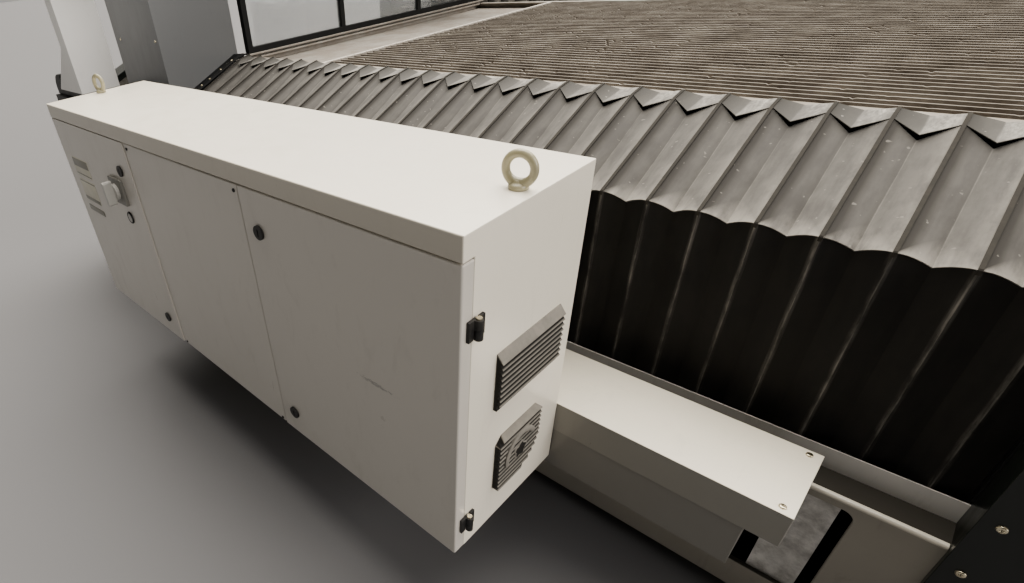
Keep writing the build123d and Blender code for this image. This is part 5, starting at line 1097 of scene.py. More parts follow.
@dataclass(frozen=True)
class ScrewTree:
    """A geometry-node tree that seats one screw head on each point, facing along the point's own direction."""

    name: str = "seated_screws"
    steps: int = 24
    profile: Outline = ((1.0, 0.0), (1.0, 0.45), (0.93, 0.72), (0.78, 0.9), (0.55, 0.99), (0.42, 1.0))
    arm_edge: float = 0.86
    arm_reach: float = 0.40
    arm_floor: float = 0.45
    web_reach: float = 0.16
    web_floor: float = 0.98
    core_floor: float = 0.4

    def build(self) -> bpy.types.NodeTree:
        """Build the tree, with named inputs for the head and the material.

        Returns:
            The node group.
        """
        tree, given = new_tree(self.name, Head="Object", Finish="Material")
        add = partial(add_node, tree)
        head = add("GeometryNodeObjectInfo", {"Object": given.outputs["Head"]})
        facing = add("GeometryNodeInputNamedAttribute", {"Name": "facing"}, data_type="FLOAT_VECTOR")
        turn = add("FunctionNodeAlignRotationToVector", {"Vector": facing}, axis="Z")
        spin = add("FunctionNodeRandomValue", {2: 0.0, 3: 3.1, "Seed": 7}, data_type="FLOAT")
        own_turn = add("FunctionNodeAxisAngleToRotation", {"Axis": (0.0, 0.0, 1.0), "Angle": spin})
        turned = add("FunctionNodeRotateRotation", {
            "Rotation": turn, "Rotate By": own_turn}, rotation_space="LOCAL")
        copies = add("GeometryNodeInstanceOnPoints", {
            "Points": given.outputs["Geometry"], "Instance": head.outputs["Geometry"], "Rotation": turned})
        real = add("GeometryNodeRealizeInstances", {0: copies})
        finished = add("GeometryNodeSetMaterial", {"Geometry": real, "Material": given.outputs["Finish"]})
        add("NodeGroupOutput", {0: finished})
        return tree

    def seat(self, shop: Shop, name: str, size: tuple[float, float], seats: Sequence[Point], axis: Axis,
             finish: Finish, body: str, *nodes: str) -> None:
        """Make a set of cross-recess pan-head screws.

        Args:
            shop: The shop.
            name: The new object's name.
            size: The heads' radius and height, in millimetres.
            seats: Where each head sits.
            axis: Which way they face.
            finish: Their finish.
            body: The CAD body they ride on.
            nodes: The CAD nodes that they replace.
        """
        head = self.pan_head(shop, size[0] / MM, size[1] / MM)
        mesh = bpy.data.meshes.new(name)
        mesh.from_pydata([tuple(DATUM.place(*spot)) for spot in seats], [], [])
        facing = mesh.attributes.new("facing", "FLOAT_VECTOR", "POINT")
        facing.data.foreach_set("vector", axis.value * len(seats))
        piece = shop.new_object(name, mesh)
        tree = bpy.data.node_groups.get(self.name) or self.build()
        shop.grow(piece, tree, Head=head, Finish=finish.material())
        bpy.data.objects.remove(head)
        shop.settle(piece, body, finish, *nodes)

    def pan_head(self, shop: Shop, radius: float, height: float) -> bpy.types.Object:
        """Turn one pan head with a cross recess in its top.

        Args:
            shop: The shop.
            radius: The head's radius in metres.
            height: Its height in metres.

        Returns:
            The head, standing on the origin.
        """
        shape = bmesh.new()
        turns = around(self.steps)
        rings = [[shape.verts.new((radius * share * a, radius * share * b, height * z)) for a, b in turns]
                 for share, z in self.profile]
        # the cross: the innermost points lie deeper along its four arms than between them
        cross = []
        for a, b in turns:
            in_arm = abs(a * a - b * b) > self.arm_edge
            reach = radius * (self.arm_reach if in_arm else self.web_reach)
            deep = height * (self.arm_floor if in_arm else self.web_floor)
            cross.append(shape.verts.new((reach * a, reach * b, deep)))
        bridge(shape, [*rings, cross])
        shape.faces.new(rings[0][::-1])
        fan(shape, cross, shape.verts.new((0, 0, height * self.core_floor)))
        face_outwards(shape)
        made = shop.from_bmesh("pan_head", shape)
        shop.smooth(made, 40)
        return made


@dataclass
class Bellows:
    """The pleated covers over both beams: a grey roof, black sides and a stiffener along each ridge."""

    pitch: float = 102.5
    packed_pitch: float = 13.0
    pleats: int = 27
    right_end: float = 667.0
    packed_left: float = -2914.0
    front: float = 661.0
    foot: float = 511.0
    eaves: float = 973.0
    apex: Pair = (988.0, 1105.0)
    back: Pair = (1035.0, 1114.0)
    lip: Pair = (1043.0, 1079.0)
    valley_eaves: Pair = (679.0, 953.0)
    valley_top: Pair = (940.0, 1080.0)
    notch: Pair = (936.0, 1092.0)
    valley_back: Pair = (1033.0, 1104.0)
    scallop: float = 1.7
    roof_sag: float = 2.5
    eaves_curl: float = 2.0
    top_share: float = 0.75
    top_dip: float = 1.6
    lip_fall: float = 8.0
    side_depth: float = 18.0
    side_fullness: float = 2.0
    stiffener_half: float = 3.3
    sheet: float = 1.3
    columns: int = 8
    travel: float = 2400.0

    def grid(self, shop: Shop, name: str, pitch: float, rows: int,
             at: Callable[[float, float], Pair]) -> bpy.types.Object:
        """Make one pleat of a sheet, from valley to valley with its ridge in the middle.

        Args:
            shop: The shop.
            name: The object's name.
            pitch: The pleat's length along X.
            rows: How many steps up the profile.
            at: Gives (y, z) for across, 0 on a ridge and 1 in the valley, and along, 0 to 1.

        Returns:
            The pleat, with its phase and along attributes, its left valley at X = 0.
        """
        steps = 2 * self.columns
        points, faces = [], []
        for i in range(steps + 1):
            for j in range(rows + 1):
                y, z = at(abs(i / self.columns - 1), j / rows)
                points.append((i * pitch / steps / MM, (y + DATUM.shift_y) / MM, z / MM))
        for i in range(steps):
            for j in range(rows):
                a = i * (rows + 1) + j
                faces.append((a, a + rows + 1, a + rows + 2, a + 1))
        mesh = bpy.data.meshes.new(name)
        mesh.from_pydata(points, [], faces)
        # the two are kept on the faces' corners, so that joining two pleats in a valley doesn't mix them
        corners = [divmod(loop.vertex_index, rows + 1) for loop in mesh.loops]
        for title, values in (
                ("phase", [i / steps for i, _ in corners]), ("along", [j / rows for _, j in corners])):
            mesh.attributes.new(title, "FLOAT", "CORNER").data.foreach_set("value", values)
        return shop.new_object(name, mesh)

    def roof(self, across: float, along: float) -> Pair:
        """Give the roof's (y, z): a straight ridge, and a valley whose lower edge hangs in a scallop.

        Args:
            across: 0 on a ridge and 1 in the valley.
            along: 0 at the profile's start and 1 at its end.

        Returns:
            The point's Y and Z.
        """
        low_y = between(self.front, self.valley_eaves[0], across)
        low_z = between(self.eaves, self.valley_eaves[1], across ** self.scallop)
        high_y, high_z = between_points(self.apex, self.valley_top, across)
        sag = self.roof_sag * across * math.sin(math.pi * along)
        curl = -self.eaves_curl * (1 - along) ** 14
        return between(low_y, high_y, along) + curl, between(low_z, high_z, along) - sag

    def top(self, across: float, along: float) -> Pair:
        """Give the flat top's (y, z): its front edge runs in a zigzag over the notches.

        Args:
            across: 0 on a ridge and 1 in the valley.
            along: 0 at the profile's start and 1 at its end.

        Returns:
            The point's Y and Z.
        """
        front_y, front_z = between_points(self.apex, self.notch, across)
        back_y, back_z = between_points(self.back, self.valley_back, across)
        front_z += 0.6
        if along <= self.top_share:
            part = along / self.top_share
            dip = self.top_dip * across * math.sin(math.pi * part)
            return between(front_y, back_y, part), between(front_z, back_z, part) - dip
        part = (along - self.top_share) / (1 - self.top_share)
        return between(back_y, self.lip[0], part), between(back_z, self.lip[1] - self.lip_fall * across, part)

    def shade_sheet(self, across: float, along: float) -> Pair:
        """Give the (y, z) of a hidden near-black sheet under the flat top, from roof to rear lip: painted
        shade for the gap.

        Args:
            across: 0 on a ridge and 1 in the valley.
            along: 0 at the profile's start and 1 at its end.

        Returns:
            The point's Y and Z.
        """
        front_y = between(self.apex[0], self.valley_top[0], across)
        front_z = self.apex[1] - 3 + (self.valley_top[1] - self.apex[1] - 2) * across
        back_z = self.lip[1] + 1 - self.lip_fall * across
        return between(front_y, self.lip[0] - 3, along), between(front_z, back_z, along)

    def side(self, across: float, along: float) -> Pair:
        """Give the side's (y, z): folds that hang straight, a little fuller at the foot.

        Args:
            across: 0 on a ridge and 1 in the valley.
            along: 0 at the profile's start and 1 at its end.

        Returns:
            The point's Y and Z.
        """
        inner = self.side_depth * across ** 0.8
        full = self.side_fullness * math.sin(math.pi * along) * across
        top = self.eaves - 4 + (self.valley_eaves[1] - self.eaves) * across ** self.scallop
        return self.front + 1.5 + inner - full, between(self.foot, top, along)

    def seam(self, shop: Shop, name: str) -> bpy.types.Object:
        """Make the thin stiffener edge that follows one ridge, with its tab below the eaves.

        Args:
            shop: The shop.
            name: The object's name.

        Returns:
            The strip, standing at X = 0.
        """
        (apex_y, apex_z), (back_y, back_z), (lip_y, lip_z) = self.apex, self.back, self.lip
        outer = [(self.front - 2.2, self.eaves - 9), (self.front - 2.6, self.eaves),
                 (self.front - 0.5, self.eaves + 2.5), (apex_y - 1.0, apex_z + 2.2), (back_y, back_z + 1.8),
                 (lip_y + 1.0, lip_z)]
        inner = [(self.front + 4, self.eaves - 9), (self.front + 4, self.eaves - 2),
                 (self.front + 5, self.eaves - 1), (apex_y + 1, apex_z - 3), (back_y - 1, back_z - 3),
                 (lip_y - 2, lip_z)]
        shape = bmesh.new()
        half = self.stiffener_half / MM
        sections = []
        for out, within in zip(outer, inner):
            corners = ((-half, out), (half, out), (half, within), (-half, within))
            sections.append([shape.verts.new((x, (y + DATUM.shift_y) / MM, z / MM)) for x, (y, z) in corners])
        skin(shape, sections)
        return shop.from_bmesh(name, shape)

    def both_sides(self, piece: bpy.types.Object) -> None:
        """Add a piece's mirror image across the tank to its own mesh.

        Args:
            piece: The object.
        """
        shape = bmesh.new()
        shape.from_mesh(piece.data)
        double = bmesh.ops.duplicate(shape, geom=shape.verts[:] + shape.edges[:] + shape.faces[:])["geom"]
        centre = (DATUM.tank_centre + DATUM.shift_y) / MM
        for vertex in (item for item in double if isinstance(item, bmesh.types.BMVert)):
            vertex.co.y = 2 * centre - vertex.co.y
        bmesh.ops.reverse_faces(shape, faces=[item for item in double if isinstance(item, bmesh.types.BMFace)])
        shape.to_mesh(piece.data)
        shape.free()

    def run(self, shop: Shop, label: str, pitch: float, left: float,
            body: str | None) -> list[bpy.types.Object]:
        """Build one length of bellows on both beams.

        Args:
            shop: The shop.
            label: The start of its pieces' names.
            pitch: The pleats' pitch.
            left: The left end's X.
            body: The CAD body it rides on, or None where it stretches between two.

        Returns:
            Its roof, top, sides, shade sheets and seams.
        """
        pleat_row = RowTree("pleats_in_a_row", merge_mm=0.05)
        pieces = []
        for title, rows, at, finish in (
                ("roof", 12, self.roof, Finishes.roof_cloth), ("top", 8, self.top, Finishes.top_cloth),
                ("sides", 6, self.side, Finishes.side_cloth),
                ("gussets", 3, self.shade_sheet, Finishes.shade_sheet_cloth)):
            piece = self.grid(shop, f"{label}_{title}", pitch, rows, at)
            pleat_row.repeat(shop, piece, self.pleats, (pitch, 0, 0), finish)
            shop.thicken(piece, self.sheet)
            pieces.append((piece, finish))
        seam = self.seam(shop, f"{label}_ridge_stiffeners")
        RowTree("stiffeners_in_a_row").repeat(shop, seam, self.pleats, (pitch, 0, 0), Finishes.seam_cloth)
        seam.data.transform(Matrix.Translation((pitch / 2 / MM, 0, 0)))
        pieces.append((seam, Finishes.seam_cloth))
        for piece, _ in pieces:
            piece.data.transform(Matrix.Translation(((left + DATUM.shift_x) / MM, 0, 0)))
            self.both_sides(piece)
            shop.smooth(piece, 24)
        return [shop.settle(piece, body, finish) for piece, finish in pieces]

    def build(self, shop: Shop) -> None:
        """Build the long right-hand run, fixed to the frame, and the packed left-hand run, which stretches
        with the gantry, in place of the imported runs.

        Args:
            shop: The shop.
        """
        length = self.pleats * self.pitch
        for piece in self.run(shop, "right_bellows", self.pitch, self.right_end - length, "frame"):
            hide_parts("right_bellows")
            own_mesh(piece)
        start = DATUM.place(self.packed_left, 0, 0)
        end = DATUM.place(self.packed_left + self.pleats * self.packed_pitch, 0, 0)
        for piece in self.run(shop, "left_bellows", self.packed_pitch, self.packed_left, None):
            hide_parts("left_bellows")
            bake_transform(piece, "frame", "gantry", start=tuple(start), end=tuple(end))
        shop.outfit((), ((Finishes.black_paint, "bellows_fixed_flanges bellows_moving_flanges"),))


@dataclass
class EyeBolts:
    """The two forged lifting eyes on the cabinet's roof."""

    centres: Pair = (-1762.0, -35.0)
    turns: Pair = (13.0, 6.0)
    depth_at: float = 190.0
    seat: float = 1150.0
    ring: float = 24.4
    wire: float = 7.2
    ring_centre: float = 32.6
    thicker_foot: float = 0.28
    flattened: float = 0.92
    collar: Outline = (
        (16.0, 0.0), (17.0, 1.0), (16.6, 6.0), (15.2, 8.2), (12.58, 9.6), (9.52, 11.4), (7.82, 14.5))

    def build(self, shop: Shop) -> None:
        """Bend each ring and turn each collar, which run into each other.

        Args:
            shop: The shop.
        """
        shape = bmesh.new()
        for x, turn in zip(self.centres, self.turns):
            self.eye(shape, x, math.radians(turn))
        shop.complete("lifting_eyes", shape, 50, "frame", Finishes.eye_enamel, "eye_bolts")

    def eye(self, shape: bmesh.types.BMesh, x: float, facing: float) -> None:
        """Add one eye to a shape.

        Args:
            shape: The shape it joins.
            x: Its place along the cabinet.
            facing: How far it was turned when it came tight, in radians.
        """
        centre = self.seat + self.ring_centre
        rings = []
        for cos_ring, sin_ring in around(64):
            # the forging is thicker where the ring meets the collar, and a little flattened
            wire = self.wire * (1 + self.thicker_foot * max(0.0, -sin_ring) ** 4)
            section = []
            for cos_wire, sin_wire in around(24):
                reach = self.ring + wire * cos_wire
                along, across = reach * cos_ring, wire * self.flattened * sin_wire
                section.append((x + along * math.cos(facing) - across * math.sin(facing),
                                self.depth_at + along * math.sin(facing) + across * math.cos(facing),
                                centre + reach * sin_ring))
            rings.append(add_points(shape, section))
        bridge(shape, [*rings, rings[0]])
        skin(shape, [add_points(shape, [(x + radius * a, self.depth_at + radius * b, self.seat + height)
                                        for a, b in around(40)]) for radius, height in self.collar])


@dataclass
class Louvres:
    """The moulded louvred covers of the cabinet's filter and fan."""

    proud: float = 15.0
    root: float = 6.0
    hood: float = 20.0
    fan_hood: float = 10.0
    pitch: float = 12.8
    undercut: float = 2.6
    filter_at: Box = (107.0, 320.0, 740.5, 875.5)
    fan_at: Box = (125.0, 277.0, 493.0, 645.0)
    ring_radius: float = 51.0
    ring_width: float = 12.0
    ring_from: float = 28.0
    ring_sweep: float = 167.0
    dish_radius: float = 17.0

    def build(self, shop: Shop) -> None:
        """Mould both covers and put them in the place of the CAD nodes.

        Args:
            shop: The shop.
        """
        shape = self.block(*self.filter_at, self.hood)
        shop.complete("filter_louvres", shape, 30, "frame", Finishes.grille_plastic, "filter_grille")
        left, right, low, high = self.fan_at
        shape = self.block(left, right, low, high, self.fan_hood)
        for y, z, way_y, way_z, size in (
                (left, high, -1.0, 1.0, 18.0), (right, low, 1.0, -1.0, 52.0), (right, low, 1.0, -0.45, 31.0),
                (right, low, 0.45, -1.0, 69.0), (right, high, 1.0, 1.0, 6.0), (left, low, -1.0, -1.0, 4.0)):
            at = DATUM.place(0.0, y - math.copysign(size, way_y), z)
            self.cut_corner(shape, at, Vector((0, way_y, way_z)))
        middle = ((left + right) / 2, (low + high) / 2)
        self.ring(shape, middle, self.proud + 4.0)
        self.dish(shape, middle)
        shop.complete("fan_louvres", shape, 30, "frame", Finishes.grille_plastic, "fan_guard")

    def block(self, left: float, right: float, low: float, high: float, hood: float) -> bmesh.types.BMesh:
        """Make a block whose front is a stack of slanted blades under a deeper hood.

        Args:
            left: The end with the lower Y.
            right: The end with the higher Y.
            low: Lower edge.
            high: Upper edge.
            hood: The hood's height.

        Returns:
            The block, on the cabinet's end.
        """
        # each point's third number is its groove value, which paints shade: 1 at the root under each blade, 0
        # on the blade's face
        profile = [(0.0, low, 0.0), (0.0, high, 0.0), (2.0, high, 0.0)]
        z, drop = high, hood
        while z - drop > low:
            profile += [(self.proud, z - drop + self.undercut, 0.0), (self.proud, z - drop + 1.0, 0.2),
                        (self.root, z - drop, 1.0)]
            z, drop = z - drop, self.pitch
        profile.append((self.root + 2, low, 0.6))
        shape = bmesh.new()
        groove = shape.verts.layers.float.new("groove")
        ends = []
        for y in (left, right):
            end = add_points(shape, [(x, y, height) for x, height, _ in profile])
            for corner, (_, _, depth) in zip(end, profile):
                corner[groove] = depth
            ends.append(end)
        skin(shape, ends)
        return shape

    def cut_corner(self, shape: bmesh.types.BMesh, at: Vector, outward: Vector) -> None:
        """Cut a corner off a block and close the cut.

        Args:
            shape: The shape.
            at: A point of the cut.
            outward: The side on which the corner goes.
        """
        everything = shape.verts[:] + shape.edges[:] + shape.faces[:]
        cut = bmesh.ops.bisect_plane(shape, geom=everything, plane_co=at, plane_no=outward, clear_outer=True)
        edges = [item for item in cut["geom_cut"] if isinstance(item, bmesh.types.BMEdge)]
        bmesh.ops.edgenet_fill(shape, edges=edges)

    def dish(self, shape: bmesh.types.BMesh, middle: Pair) -> None:
        """Sink a shallow round dish, with a ragged rim, where the fan's hub shows; its groove values paint it
        near black as the shade of an opening.

        Args:
            shape: The shape.
            middle: The opening's centre, in Y and Z.
        """
        groove = shape.verts.layers.float["groove"]
        steps = 36
        rings = []
        for share, out, depth in ((1.25, -1.0, 0.1), (1.1, 1.5, 0.0), (0.95, 1.2, 0.5), (0.4, 0.9, 1.0)):
            places = []
            for i in range(steps):
                angle = math.tau * i / steps
                ragged = 1 + 0.16 * math.sin(5 * angle + 0.6) + 0.05 * math.sin(11 * angle)
                reach = self.dish_radius * share * ragged
                places.append((self.proud + out, middle[0] + reach * math.cos(angle),
                               middle[1] + reach * math.sin(angle)))
            ring = add_points(shape, places)
            for corner in ring:
                corner[groove] = depth
            rings.append(ring)
        bridge(shape, rings)
        shape.faces.new(rings[-1])

    def ring(self, shape: bmesh.types.BMesh, middle: Pair, out: float) -> None:
        """Add a raised rib, crowned on top, that bends over the fan's upper left side.

        Args:
            shape: The shape it joins.
            middle: Its centre's Y and Z.
            out: How far it stands out from the cabinet.
        """
        steps, half = 40, self.ring_width / 2
        section = [(-half, 1.0), (-half, out - 1.5), (-half / 2, out),
                   (half / 2, out), (half, out - 1.5), (half, 1.0)]
        rings = []
        for i in range(steps):
            angle = math.radians(self.ring_from + self.ring_sweep * i / (steps - 1))
            rings.append(add_points(shape, [
                (x, middle[0] + (self.ring_radius + side) * math.cos(angle),
                 middle[1] + (self.ring_radius + side) * math.sin(angle)) for side, x in section]))
        bridge(shape, rings[::-1], closed=False)
        shape.faces.new(rings[0])
        shape.faces.new(rings[-1][::-1])


@dataclass
class Cabinet:
    """The control cabinet: shell, doors, hinges, locks, switch, grilles, raceway and small plates."""

    left_plates: tuple[Box, ...] = ((-1724.0, -1583.0, 913.0, 978.0), (-1724.0, -1583.0, 816.0, 898.0))
    left_bands: tuple[Box, ...] = (
        (-1722.0, -1585.0, 946.0, 976.0), (-1722.0, -1585.0, 917.0, 921.0), (-1722.0, -1585.0, 890.0, 894.0),
        (-1722.0, -1585.0, 818.0, 832.0), (-1724.0, -1583.0, 775.0, 795.0))
    plate_thick: float = 1.0
    band_thick: float = 1.6
    plate_edge: float = 0.3
    plug_at: Pair = (-1318.0, 841.0)
    plug_radius: float = 20.0
    plug_body: Outline = ((1.0, 0.0), (1.0, 3.0), (0.94, 4.5), (0.80, 5.0), (0.78, 3.2), (0.0, 3.2))
    plug_face: Outline = ((0.72, 3.0), (0.72, 4.0), (0.66, 4.6), (0.0, 4.9))
    panel_back: float = 4.0
    door_depth: float = 28.0
    lid_top: float = 566.0
    lid_screws_x: Pair = (438.0, -1768.0)
    lid_screws_y: Pair = (565.0, 397.0)
    panel_screws_x: Pair = (-1179.0, -613.0)
    panel_screws_z: Pair = (1086.0, 401.0)
    apron_screws: Point = (697.0, 560.0, 191.0)
    apron_step: float = 131.0

    def build(self, shop: Shop) -> None:
        """Dress the cabinet's nodes and add its louvres, blank plates, plug and screws.

        Args:
            shop: The shop.
        """
        shop.outfit((
            (Finishes.cabinet_paint, 3.0, "cabinet_shell"), (Finishes.raceway_paint, 1.6, "raceway_lid"),
            (Finishes.raceway_body_paint, 0.8, "raceway_body"),
            (Finishes.door_paint, 4.0, "cabinet_middle_panel right_door left_door"),
            (Finishes.black_plastic, 0.9, "hinge_fixed_leaves right_door_hinge_leaves left_door_hinge_leaves"),
            (Finishes.beam_paint, 3.0, "cabinet_carriers"), (Finishes.galvanised, 1.0, "mounting_plate"),
            (Finishes.switch_plastic, 1.2, "main_switch_plate"),
            (Finishes.handle_plastic, 1.5, "main_switch_handle"),
            (Finishes.black_plastic, 0.6, "right_upper_lock right_lower_lock left_upper_lock left_lower_lock"),
        ), (
            (Finishes.zinc, "hinge_pins"), (Finishes.black_plastic, "fan_frame fan_impeller"),
            (Finishes.drive_plastic, "drive_modules"), (Finishes.grille_plastic, "terminal_row")))
        self.set_back(bpy.data.objects["cabinet_middle_panel_folded"])
        Louvres().build(shop)
        self.plates(shop)
        self.screws(shop)

    def set_back(self, panel: bpy.types.Object) -> None:
        """Set the fixed panel's face a little behind the left door, whose edge then shows.

        Args:
            panel: The panel's piece.
        """
        front = DATUM.place(0.0, 0.0, 0.0).y
        depth = self.door_depth / MM
        across = [vertex.co.x for vertex in panel.data.vertices]
        left, right = min(across), max(across)
        for vertex in panel.data.vertices:
            share = 1.0 - (vertex.co.y - front) / depth
            vertex.co.y += self.panel_back / MM * max(0.0, share) * (right - vertex.co.x) / (right - left)
        panel.data.update()

    def plates(self, shop: Shop) -> None:
        """Add the left door's blank plates and its blanking plug.

        Args:
            shop: The shop.
        """
        for name, boxes, thick, finish in (
                ("left_door_blank_plates", self.left_plates, self.plate_thick, Finishes.plate_plastic),
                ("left_door_plate_bands", self.left_bands, self.band_thick, Finishes.band_plastic)):
            shape = bmesh.new()
            for left, right, low, high in boxes:
                corners = ((left, low), (right, low), (right, high), (left, high))
                skin(shape, [add_points(shape, [(x, y, z) for x, z in corners]) for y in (-thick, 0.0)])
            piece = shop.from_bmesh(name, shape)
            edge = piece.modifiers.new("edge", "BEVEL")
            edge.width = self.plate_edge / MM
            edge.segments = 2
            shop.bake(piece)
            shop.smooth(piece, 50)
            shop.settle(piece, "left_door_body", finish)
        self.turned(shop, "left_door_blanking_plug", Finishes.black_plastic, self.plug_body)
        self.turned(shop, "left_door_plug_face", Finishes.handle_plastic, self.plug_face)

    def turned(self, shop: Shop, name: str, finish: Finish, profile: Outline) -> None:
        """Turn a small round part of the plug.

        Args:
            shop: The shop.
            name: The part's name.
            finish: Its finish.
            profile: Each ring's share of the plug's radius and how far out it stands; the last is the crown.
        """
        shape = bmesh.new()
        x, z = self.plug_at
        rings = [add_points(shape, [(x + self.plug_radius * share * a, -out, z + self.plug_radius * share * b)
                                    for a, b in around(40)]) for share, out in profile[:-1]]
        bridge(shape, rings)
        fan(shape, rings[-1], shape.verts.new(DATUM.place(x, -profile[-1][1], z)))
        shape.faces.new(rings[0][::-1])
        face_outwards(shape)
        shop.complete(name, shape, 40, "left_door_body", finish)

    def screws(self, shop: Shop) -> None:
        """Seat the screws on the raceway lid, the middle panel and the end cover.

        Args:
            shop: The shop.
        """
        lid = [(x, y, self.lid_top) for x in self.lid_screws_x for y in self.lid_screws_y]
        panel = [(x, y, z) for x, y in zip(self.panel_screws_x, (self.panel_back, 0.0))
                 for z in self.panel_screws_z]
        x, y, lowest = self.apron_screws
        apron = [(x, y, lowest + self.apron_step * i) for i in range(6)]
        for name, size, seats, axis, finish in (
                ("raceway_lid_screws", (6.5, 3.5), lid, Axis.UP, Finishes.zinc),
                ("middle_panel_screws", (4.5, 3.0), panel, Axis.FRONT, Finishes.black_plastic),
                ("end_cover_screws", (7.5, 4.5), apron, Axis.FRONT, Finishes.zinc)):
            ScrewTree().seat(shop, name, size, seats, axis, finish, "frame", "cover_screws")


@dataclass
class Beams:
    """Both X beams with their ends, feet, ties, rails and drip strips."""

    plate_at: Box = (430.0, 522.0, 135.0, 462.0)
    plate_front: float = 595.2
    plate_dent: float = 7.0
    plate_thick: float = 1.5
    edge_from: float = 463.0
    edge_to: float = 668.5
    edge: Outline = (
        (580.5, 474.0), (577.5, 474.5), (576.0, 476.5), (575.6, 479.5), (576.4, 482.0), (578.2, 483.9),
        (581.0, 484.8), (584.5, 484.9), (587.0, 484.0), (587.0, 482.5), (580.5, 482.5))

    def build(self, shop: Shop) -> None:
        """Dress the beams' nodes and add the window's sheet and the rolled edge.

        Args:
            shop: The shop.
        """
        shop.outfit((
            (Finishes.beam_paint, 2.5, "near_beam far_beam"),
            (Finishes.end_paint, 1.4, "right_end_boxes left_end_boxes"),
            (Finishes.beam_paint, 3.0, "base_ties"), (Finishes.black_paint, 1.5, "levelling_feet"),
        ), (
            (Finishes.strip_paint, "drip_strips"), (Finishes.rail_steel, "x_guide_rails"),
            (Finishes.galvanised, "magnet_tracks")))
        self.window_plate(shop)
        self.rolled_edge(shop)

    def rolled_edge(self, shop: Shop) -> None:
        """Roll the bright rounded edge that the near beam's front wall shows past the raceway's lid.

        Args:
            shop: The shop.
        """
        shape = bmesh.new()
        skin(shape, [add_points(shape, [(x, y, z) for y, z in self.edge])
                     for x in (self.edge_from, self.edge_to)])
        shop.complete("near_beam_rolled_edge", shape, 40, "frame", Finishes.cabinet_paint)

    def window_plate(self, shop: Shop) -> None:
        """Screw a dusty sheet behind the right-hand window of the near beam, short of the raceway's mouth; its
        near-white colour is painted light.

        Args:
            shop: The shop.
        """
        left, right, low, high = self.plate_at
        shape = bmesh.new()
        steps = 24
        columns = []
        for i in range(steps + 1):
            # the sheet is thin and has been pushed in a little between its edges
            dent = self.plate_dent * math.sin(math.pi * i / steps)
            columns.append(add_points(shape, [
                (between(left, right, i / steps), self.plate_front + dent * math.sin(math.pi * j / steps),
                 between(low, high, j / steps)) for j in range(steps + 1)]))
        bridge(shape, columns[::-1], closed=False)
        piece = shop.from_bmesh("window_back_sheet", shape)
        shop.thicken(piece, self.plate_thick)
        shop.smooth(piece, 40)
        shop.settle(piece, "frame", Finishes.dust_and_light_sheet)


@dataclass
class Tank:
    """The tank, its slatted bed and the clear splash guard."""

    slat_left: float = -1553.0
    slat_right: float = 638.0
    slat_top: float = 1090.0
    slat_low: float = 1010.0
    slat_thick: float = 4.0
    first_slat: float = 1108.0
    slat_pitch: float = 40.0
    slats: int = 46
    lip_top: float = 1092.0
    left_lip: Pair = (-1573.0, -1555.0)
    right_lip: Pair = (658.0, 640.0)
    crust: float = 2.2
    bite: float = 9.0
    crust_plan: Outline = (
        (0.15, 0.0), (0.0, 6.0), (0.3, 14.5), (1.0, 17.0), (0.9, 22.0), (0.2, 25.0), (0.0, 33.0), (0.15, 40.0))

    def build(self, shop: Shop) -> None:
        """Dress the tank's nodes, cut the slats and lay the dried slurry beside them.

        Args:
            shop: The shop.
        """
        shop.outfit(
            ((Finishes.tank_steel, 2.0, "water_tank"), (Finishes.black_paint, 1.5, "splash_guard_frame")),
            ((Finishes.clear, "splash_guard_panels"), (Finishes.slat_steel, "slat_combs")))
        self.slats_row(shop)
        self.edge_row(shop, "left_bed_edge", *self.left_lip, 1.0)
        self.edge_row(shop, "right_bed_edge", *self.right_lip, -1.0)

    def edge_row(self, shop: Shop, name: str, outer: float, inner: float, way: float) -> None:
        """Lay a strip of dried slurry on a lip beside the bed, eaten away at each slat's end.

        Args:
            shop: The shop.
            name: The new piece's name.
            outer: The strip's outer X.
            inner: The strip's inner X.
            way: 1 where the slats lie on the higher side, otherwise -1.
        """
        start = self.first_slat + self.slat_thick / 2 - self.slat_pitch / 2
        plan = [(outer, 0.0), *((inner - self.bite * way * share, y) for share, y in self.crust_plan),
                (outer, self.slat_pitch)]
        shape = bmesh.new()
        skin(shape, [add_points(shape, [(x, start + y, z) for x, y in plan])
                     for z in (self.lip_top, self.lip_top + self.crust)])
        piece = shop.from_bmesh(name, shape)
        step = (0, self.slat_pitch, 0)
        RowTree("edges_in_a_row", merge_mm=0.05).repeat(shop, piece, self.slats, step, Finishes.slurry)
        shop.settle(piece, "frame", Finishes.slurry)

    def slats_row(self, shop: Shop) -> None:
        """Make one plain slat, repeat it across the tank and let each copy take its own nicks.

        Args:
            shop: The shop.
        """
        count = int((self.slat_right - self.slat_left) / SlatTree.column_mm)
        shape = bmesh.new()
        top_layer = shape.verts.layers.float.new("top")
        section = ((0.0, self.slat_low), (0.0, self.slat_top), (self.slat_thick, self.slat_top),
                   (self.slat_thick, self.slat_low))
        columns = []
        for i in range(count + 1):
            x = between(self.slat_left, self.slat_right, i / count)
            column = add_points(shape, [(x, self.first_slat + y, z) for y, z in section])
            column[1][top_layer] = column[2][top_layer] = 1.0
            columns.append(column)
        skin(shape, columns)
        piece = shop.from_bmesh("nicked_slats", shape)
        step = (0, self.slat_pitch, 0)
        SlatTree("slats_in_a_row").repeat(shop, piece, self.slats, step, Finishes.slat_steel)
        shop.settle(piece, "frame", Finishes.slat_steel, "bed_slats")


